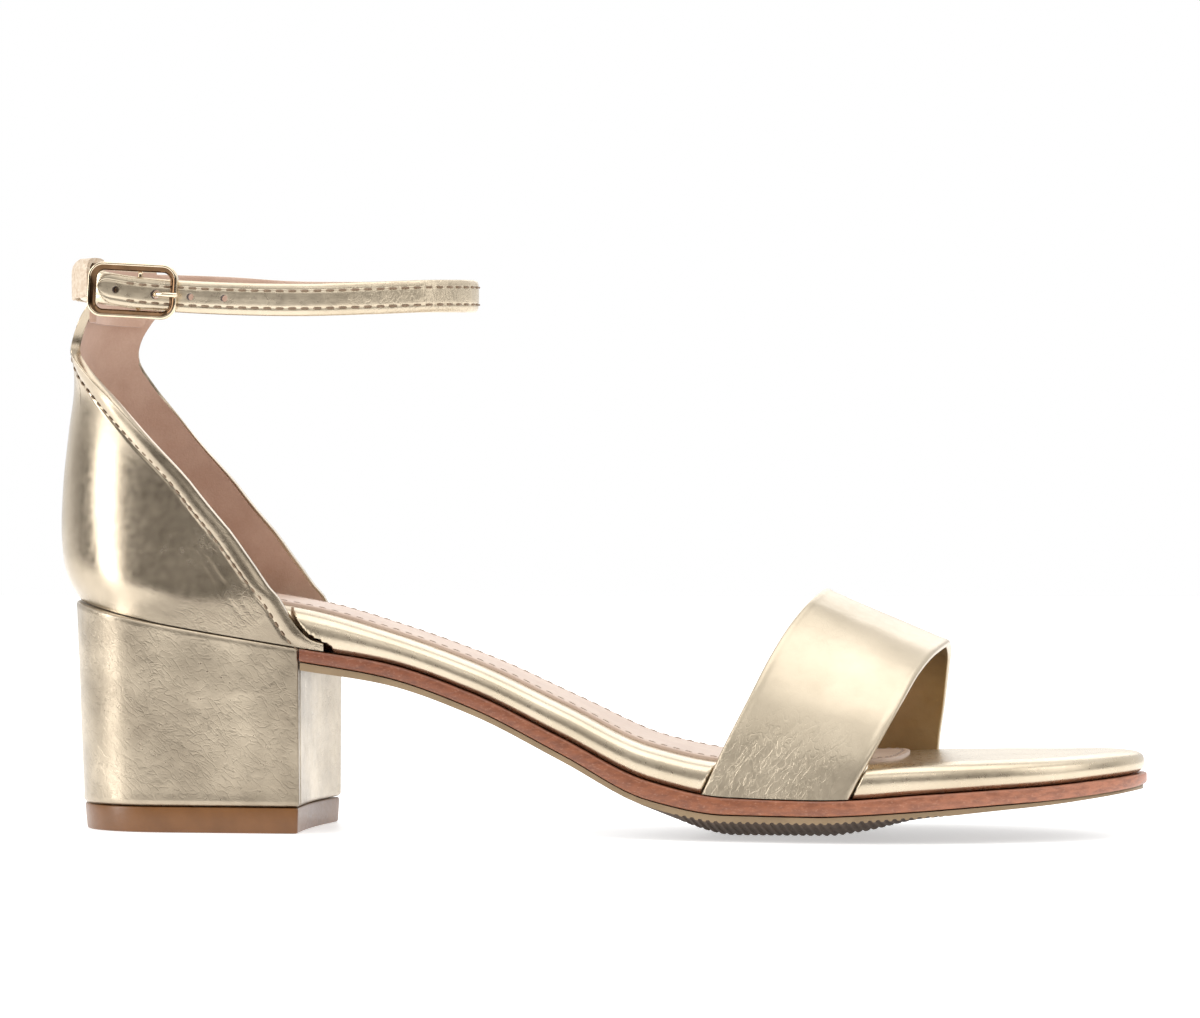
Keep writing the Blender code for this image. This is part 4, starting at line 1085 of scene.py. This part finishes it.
VAMP_CREASES = table(
    "turn0 across0 turn1 across1 width depth",
    # from a place on the band to another: turns round the foot in degrees, shares from rear to front edge
    (4, 0.08, 20, 0.26, 0.9, -0.14),
    (5, 0.22, 22, 0.40, 0.8, -0.14),
    (5, 0.38, 20, 0.56, 0.8, -0.12),
    (4, 0.54, 16, 0.72, 0.8, -0.10),
    (4, 0.30, 15, 0.44, 0.7, 0.10),
    (60, 0.30, 84, 0.42, 3.2, -0.10),
    (140, 0.20, 160, 0.42, 1.2, -0.12),
    (150, 0.40, 168, 0.60, 1.2, -0.12),
)


def near_segment(points, start, end):
    """Distance of points from a short line, and how near its middle they are."""
    run = end - start
    along = np.clip(((points - start) @ run) / (run @ run), 0, 1)
    away = np.linalg.norm(points - start - along[..., None] * run, axis=-1)
    return away, np.sin(np.pi * np.clip(along, 0.02, 0.98)) ** 0.5


def add_vamp():
    turns, across = np.linspace(0, 180, 241), np.linspace(0, 1, 91)

    def edge(name):
        rows = [smooth(column(VAMP, "turn"), column(VAMP, f"{name}_{axis}"), turns) for axis in "xyz"]
        return np.column_stack(rows)[:, None]

    outside = edge("rear") + (edge("front") - edge("rear")) * across[None, :, None]
    # the band's two ends stand beside the footbed, on the midsole's edge
    for end, name, weight in ((0, "outer", 1 - ease(0, 65, turns)), (-1, "inner", ease(115, 180, turns))):
        xs = outside[end, :, 0]
        sideways = (sole_half(name)(xs) - GAP) * (-1 if name == "outer" else 1)
        seat = np.column_stack([xs, sideways, height("rim")(xs) + GAP])
        outside = outside + weight[:, None, None] * (seat - outside[end])[None]
    along, over = np.gradient(outside, axis=0), np.gradient(outside, axis=1)
    normal = unit(np.cross(over, along))
    if normal[len(turns) // 2, 0, 2] < 0:
        normal = -normal
    normal[[0, -1], :, 2] = 0
    normal = unit(normal)
    inside = outside - VAMP_THICKNESS * normal
    forward = unit(over)
    relief = 0.08 * wave(outside.reshape(-1, 3), 14, 1).reshape(outside.shape[:2])
    wear_and_crease_shade = np.full(outside.shape[:2], 0.1)
    for crease in VAMP_CREASES:
        start, end = (
            outside[round(turn / 180 * (len(turns) - 1)), round(share * (len(across) - 1))]
            for turn, share in (crease[:2], crease[2:4])
        )
        away, middle = near_segment(outside, start, end)
        relief += crease.depth * np.exp(-((away / crease.width) ** 2)) * middle
        wear_and_crease_shade += 0.2 * np.exp(-((away / (3 * crease.width)) ** 2))
    low_outer = ease(27, 12, turns)[:, None] * ease(1, 0.7, across)
    low_inner = ease(128, 172, turns)[:, None] * 0.8
    wear_and_crease_shade = np.clip(wear_and_crease_shade + 0.7 * low_outer + 0.4 * low_inner, 0, 1)
    rim = ease(0, 0.03, across) * ease(0, 0.03, 1 - across)
    tips = (ease(0, 4, turns) * ease(180, 176, turns))[:, None]
    bead = 0.12 * (np.exp(-(((across - 0.02) / 0.02) ** 2)) + np.exp(-(((across - 0.98) / 0.02) ** 2)))
    shown = outside + normal * (relief * rim[None] * tips + bead[None] * tips - 0.12)[:, :, None]
    rounding = ((0.12, 0.26), (0.3, 0.4), (0.55, 0.42), (0.8, 0.32), (0.95, 0.12))

    def rolled(place, sign, steps):
        """The rounded edge at one side of the band, in steps of (share of the thickness, rise)."""
        at = outside[:, place], VAMP_THICKNESS * normal[:, place], sign * forward[:, place]
        return np.stack([at[0] - drop * at[1] + rise * at[2] for drop, rise in steps], axis=1)

    rings = [shown, rolled(-1, 1, rounding), inside[:, ::-1], rolled(0, -1, rounding[::-1])]
    rings = np.concatenate(rings, axis=1)
    places, count = np.arange(rings.shape[1]), len(across)
    lined = (places >= count + len(rounding)) & (places < 2 * count + len(rounding) - 1)
    part = two_sided(skin(rings, cap=flat_cap), len(places), lined)
    shades = np.full(rings.shape[:2], 0.1)
    shades[:, :count] = wear_and_crease_shade
    wear_and_crease_shade = shades.reshape(-1)
    add_piece("vamp_strap_leather", part, [GOLD_BAND, SHADED_GOLD_INSIDE], "vamp_strap", wear_and_crease_shade=wear_and_crease_shade, sharp=60)


# Ankle strap and buckle


def strap_path():
    """The ankle strap's middle line: its free part, then its way through the tunnel."""
    turns, heights = np.array(TUNNEL_STRAP_Z).T
    tunnel = cup_point(np.radians(turns), COUNTER_TOP_Z, STRAP_LIE)
    tunnel[:, 2] = heights
    return closed_spline([*ANKLE_LOOP, *tunnel], 400)


def strap_frames(path):
    """The level ways out from the strap's middle line."""
    along = np.roll(path, -1, axis=0) - np.roll(path, 1, axis=0)
    along[:, 2] = 0
    along = unit(along)
    return np.column_stack([along[:, 1], -along[:, 0], along[:, 2]])


STRAP_PATH = strap_path()
STRAP_OUT = strap_frames(STRAP_PATH)


def strap_place(x, out):
    """A point off the strap's middle line at a place x on the outer side."""
    near = [i for i, point in enumerate(STRAP_PATH) if point[1] < OUTER_SIDE_Y and point[0] < 80]
    near.sort(key=lambda i: STRAP_PATH[i][0])
    xs = STRAP_PATH[near, 0]
    return between(x, xs, STRAP_PATH[near]) + out * unit(between(x, xs, STRAP_OUT[near]))


def holed_end_lift(x):
    """How far the holed end stands out from the strap's middle line."""
    return float(smooth(column(OVERLAP, "x"), column(OVERLAP, "out"), x))


def strap_profile():
    """(out, up) round the strap: domed and stitched outside, flat and lined inside."""
    half, thick = 0.5 * STRAP_WIDTH, 0.5 * STRAP_THICKNESS
    corners = [(1, 0), (0.98, 0.3), (0.92, 0.55), (0.74, 0.78), (0.45, 0.93), (0.05, 1)]
    corners += [(-0.4, 0.99), (-0.8, 0.93), (-1, 0.82), (-1, 0)]
    ring = np.array(corners + [(out, -up) for out, up in corners[-2:0:-1]]) * (thick, half)
    out, up = resample(ring, 84, closed=True).T
    face = out > 0.2 * thick
    groove = 0.16 * np.exp(-(((abs(up) - STITCH_UP) / 0.22) ** 2)) * face
    return np.column_stack([out - groove - 0.03 * face, up])


STITCH_UP = 1.95
PROFILE = strap_profile()


def lapped_strap():
    """The whole strap's points and the ways out from them, from the bar round to the tip."""
    start = BAR_X - BAR_RADIUS - GAP
    path, count = STRAP_PATH, len(STRAP_PATH)
    outer_side = (path[:, 1] < OUTER_SIDE_Y) & (path[:, 0] < 70)
    near_start, near_tip = (
        np.argmin(np.where(outer_side, abs(path[:, 0] - x), LENGTH)) for x in (start, STRAP_TIP_X)
    )
    whole = list(range(near_start, near_start - count, -1))
    lapped = list(range(near_start - count, near_tip - count - 1, -1))
    order = [i % count for i in whole + lapped]
    lifts = np.zeros(len(order))
    for n, i in enumerate(order):
        if n > count // 2 and path[i, 1] < -10:
            lifts[n] = holed_end_lift(path[i, 0])
    points = np.array([path[i] + lift * STRAP_OUT[i] for i, lift in zip(order, lifts)])
    return points, STRAP_OUT[order]


def add_ankle_strap():
    points, ways = lapped_strap()
    out, up = PROFILE[None, :, :1], PROFILE[None, :, 1:]
    rings = points[:, None] + ways[:, None] * out + up * (0, 0, 1)
    front = ease(62, 84, points[:, 0]) * (points[:, 1] < 12)
    face = PROFILE[:, 0] > 0
    ripple = wave(rings.reshape(-1, 3) * (1, 1, 0.5), 3.2, 5).reshape(rings.shape[:2])
    ripple = 0.14 * ripple * front[:, None] + 0.04 * ripple
    rings = rings + ways[:, None] * (ripple * face[None])[:, :, None]
    tip = rings[-1]
    centre = tip.mean(axis=0)
    step = unit(points[-1] - points[-2])
    rounded = []
    for turn in np.radians((25, 45, 62, 76, 86)):
        shrunk = centre + (tip - centre) * (1, 1, math.cos(turn))
        rounded.append(shrunk + 3 * math.sin(turn) * step)
    part = skin([*rings, *rounded], cap=flat_cap)
    size = len(PROFILE)
    lined = PROFILE[:, 0] < -0.35
    part = two_sided(part, size, lined & np.roll(lined, -1))
    wear_and_crease_shade = np.repeat(np.concatenate([0.15 + 0.85 * front, [0.2] * len(rounded)]), size)
    finishes = [GOLD_STRAP, LINING, HOLE]
    punch_holes(add_piece("ankle_strap_leather", part, finishes, "ankle_strap", wear_and_crease_shade=wear_and_crease_shade, sharp=60))
    rows = []
    face_out = np.interp(STITCH_UP, *np.array(sorted((u, o) for o, u in PROFILE if o > 0 and u >= 0)).T)
    # the stitches under the holed end are hidden by it, so they start where it ends
    shown = slice(30, len(points) - 4)
    for side in (-1, 1):
        path = points + ways * face_out + (0, 0, side * STITCH_UP)
        rows.append(stitch_row(path[shown], ways[shown], STRAP_STITCH, sink=0.2))
    add_piece("ankle_strap_stitches", joined(*rows), [THREAD], sharp=60)


def punch_holes(strap):
    """Cut the strap's holes and give their walls the last of its finishes."""
    cutters = []
    for k, x in enumerate((*HOLE_XS, PRONG_HOLE_X)):
        radius = PRONG_HOLE_RADIUS if x == PRONG_HOLE_X else HOLE_RADIUS
        lift = holed_end_lift(x)
        ends = [strap_place(x, lift + out) for out in (-0.5 * STRAP_THICKNESS - 0.2, 2)]
        cutter = show_part(f"punch_{k}", skin(rod_rings(ends, radius, 28), cap=flat_cap), [HOLE])
        cutters.append(cutter)
        step = strap.modifiers.new(cutter.name, "BOOLEAN")
        step.operation, step.material_mode, step.object = "DIFFERENCE", "TRANSFER", cutter
    seen = strap.evaluated_get(bpy.context.evaluated_depsgraph_get())
    cut = bpy.data.meshes.new_from_object(seen)
    strap.modifiers.clear()
    strap.data = cut
    for cutter in cutters:
        bpy.data.objects.remove(cutter, do_unlink=True)


def buckle_axes():
    """The buckle's middle, its ways forward, up and out, and its length between the rails' middle lines."""
    clear = 0.5 * STRAP_THICKNESS + GAP + RAIL_RADIUS
    back, front = (strap_place(x, holed_end_lift(x) + clear) for x in (BUCKLE_BACK_X, BUCKLE_FRONT_X))
    forward = front - back
    forward[2] = 0
    length = np.linalg.norm(forward)
    forward /= length
    out = np.array([forward[1], -forward[0], 0])
    up = np.array([0, 0, 1])
    turned = math.cos(BUCKLE_TILT) * forward + math.sin(BUCKLE_TILT) * up
    risen = math.cos(BUCKLE_TILT) * up - math.sin(BUCKLE_TILT) * forward
    return 0.5 * (back + front), turned, risen, out, length


def add_buckle():
    middle, forward, up, out, length = buckle_axes()
    half_long, half_high, corner = 0.5 * length, 0.5 * BUCKLE_HEIGHT - RAIL_RADIUS, BUCKLE_CORNER
    # the rail's section: (away from the window, out), with a broad chamfer round the window, whose faces
    # are near-black gold as a painted dark reflection
    section = [(0.75, -0.5), (0.75, 0.4), (0.69, 0.58), (0.56, 0.69), (0.36, 0.73), (0.12, 0.7)]
    section += [(-0.98, -0.08), (-1.05, -0.22), (-1.05, -0.5), (-0.9, -0.7), (0.6, -0.7)]
    rings = []
    for turn0, a, b in ((0, 1, 1), (90, -1, 1), (180, -1, -1), (270, 1, -1)):
        for turn in np.radians(np.linspace(turn0, turn0 + 90, 12)):
            way = math.cos(turn) * forward + math.sin(turn) * up
            centre = middle + a * (half_long - corner) * forward + b * (half_high - corner) * up
            point = centre + corner * way
            rings.append([point + away * way + rise * out for away, rise in section])
    rail = skin(rings, closed=True)
    rail = Part(rail.points, rail.faces, [int(5 <= i % len(section) <= 7) for i in range(len(rail.faces))])
    seat = strap_place(BAR_X, 0) - middle
    depth, shift = float(np.dot(seat, out)), float(np.dot(seat, forward))
    # the centre bar turns in from the rail's middle line to the strap's
    legs = [(half_high - drop, share * depth) for drop, share in ((0, 0), (0, 0.6), (0.5, 0.9), (1.1, 1))]
    profile = legs + [(-y, z) for y, z in legs[::-1]]
    points = resample([middle + shift * forward + y * up + z * out for y, z in profile], 40)
    bar = skin(rod_rings(points, BAR_RADIUS), cap=flat_cap)
    add_piece("buckle_frame_metal", joined(rail, bar), [METAL, METAL_PAINTED_DARK_REFLECTION], "buckle_frame", sharp=38)


def add_prong():
    """The pin, from the bar through its hole and over the buckle's front rail."""
    clear = 0.5 * STRAP_THICKNESS + GAP + 2 * RAIL_RADIUS + GAP + PRONG_RADIUS
    over = holed_end_lift(BUCKLE_FRONT_X) + clear
    turns = ((-2.2, -0.45), (-0.9, -0.4), (-0.15, 0.2), (0, 1.2), (0.1, 2.3), (0.7, 3.3))
    route = [(BAR_X + BAR_RADIUS + GAP + 0.3, -0.25), *((PRONG_HOLE_X + x, out) for x, out in turns)]
    route += [(BUCKLE_FRONT_X + x, over + out) for x, out in ((-1.6, -0.15), (0, 0), (1.3, -0.2))]
    points = np.array([strap_place(x, out) for x, out in route])
    keys = np.arange(len(points))
    at = np.linspace(0, len(points) - 1, 60)
    fine = np.stack([smooth(keys, points[:, k], at) for k in range(3)], axis=1)
    left = np.linalg.norm(fine - fine[-1], axis=1)
    radii = PRONG_RADIUS * np.sqrt(np.clip(1 - (1 - np.clip(left / PRONG_RADIUS, 0, 1)) ** 2, 0.05, 1))
    add_piece("buckle_prong_metal", skin(rod_rings(fine, radii), cap=flat_cap), [METAL], "buckle_prong")


# Studio


def turn_to(made, place, way):
    """Put a light or camera at a place, looking along a way."""
    made.location = place
    made.rotation_mode = "QUATERNION"
    made.rotation_quaternion = way.to_track_quat("-Z", "Y")


def add_area(name, place, size, power):
    """A box of light that faces the shoe."""
    light = bpy.data.lights.new(name, "AREA")
    light.shape = "RECTANGLE"
    light.size, light.size_y = size
    light.energy = power
    turn_to(show(name, light), place, Vector((0, 0, 0.05)) - Vector(place))


def add_floor():
    """A pale floor that shines a little, so that it fades into the white behind."""
    mesh = bpy.data.meshes.new("floor")
    mesh.from_pydata([(-6, -6, 0), (6, -6, 0), (6, 6, 0), (-6, 6, 0)], [], [(0, 1, 2, 3)])
    look = bpy.data.materials.new("pale floor")
    look.use_nodes = True
    sockets = look.node_tree.nodes["Principled BSDF"].inputs
    sockets["Base Color"].default_value = (0.86, 0.86, 0.86, 1)
    sockets["Roughness"].default_value = 0.35
    sockets["Specular IOR Level"].default_value = 0.25
    sockets["Emission Color"].default_value = (1, 1, 1, 1)
    sockets["Emission Strength"].default_value = 0.5
    mesh.materials.append(look)
    floor = show("floor", mesh)


def add_world():
    """White behind the shoe, and in front of it a room that is dark near the floor."""
    world = bpy.data.worlds.new("studio")
    bpy.context.scene.world = world
    world.use_nodes = True
    g = Graph(world.node_tree)
    way = g.node("ShaderNodeTexCoord").outputs["Generated"]
    split = g.node("ShaderNodeSeparateXYZ", {0: way}).outputs
    dark = ((0, (0.11, 0.095, 0.08)), (0.12, (0.06, 0.05, 0.042)), (0.3, (0.26, 0.245, 0.23)))
    room = g.ramp(split["Z"], *dark, (0.5, (0.8, 0.79, 0.77)), (1, (0.95, 0.95, 0.95)))
    room = g.mix(g.levels(split["Y"], -0.05, 0.5), room, (0.97, 0.97, 0.97))
    seen = g.node("ShaderNodeLightPath").outputs["Is Camera Ray"]
    g.plug(g.tree.nodes["Background"].inputs["Color"], g.mix(seen, room, (1, 1, 1)))


def add_studio():
    add_floor()
    add_world()
    add_area("top box", (0.05, -0.15, 1.5), (1.6, 1.4), 9)
    add_area("left box", (-1.3, -0.55, 0.55), (0.4, 1.1), 8)
    add_area("front box", (0.35, -1.7, 0.95), (1.2, 0.5), 2.2)
    add_area("right box", (1.3, -0.5, 0.6), (0.6, 1), 2.6)
    add_area("back box", (-0.2, 1.3, 0.8), (1.4, 0.8), 3.5)


def add_camera():
    """The photograph's view: level, from the outer side and a little from the front."""
    turn, distance = math.radians(8.5), 0.9
    frame_width, focal_pixels = 1200, 4014
    away = Vector((math.sin(turn), -math.cos(turn), 0))
    aim = Vector((np.array([123, 0, 60]) - ORIGIN) * MM)
    data = bpy.data.cameras.new("camera")
    data.sensor_width = 36
    data.lens = 36 * focal_pixels / frame_width
    # the photograph's middle less the place of the aim in it, in pixels
    data.shift_x = (600 - 593) / frame_width
    data.shift_y = (562.2 - 509) / frame_width
    data.clip_start, data.clip_end = 0.01, 50
    camera = show("camera", data)
    turn_to(camera, aim + away * distance, -away)
    bpy.context.scene.camera = camera


add_top_piece()
add_heel_block()
add_outsole()
add_midsole()
add_footbed()
add_sock()
add_counter()
add_vamp()
add_ankle_strap()
add_buckle()
add_prong()
add_studio()
add_camera()
bpy.context.scene.view_settings.view_transform = "Standard"
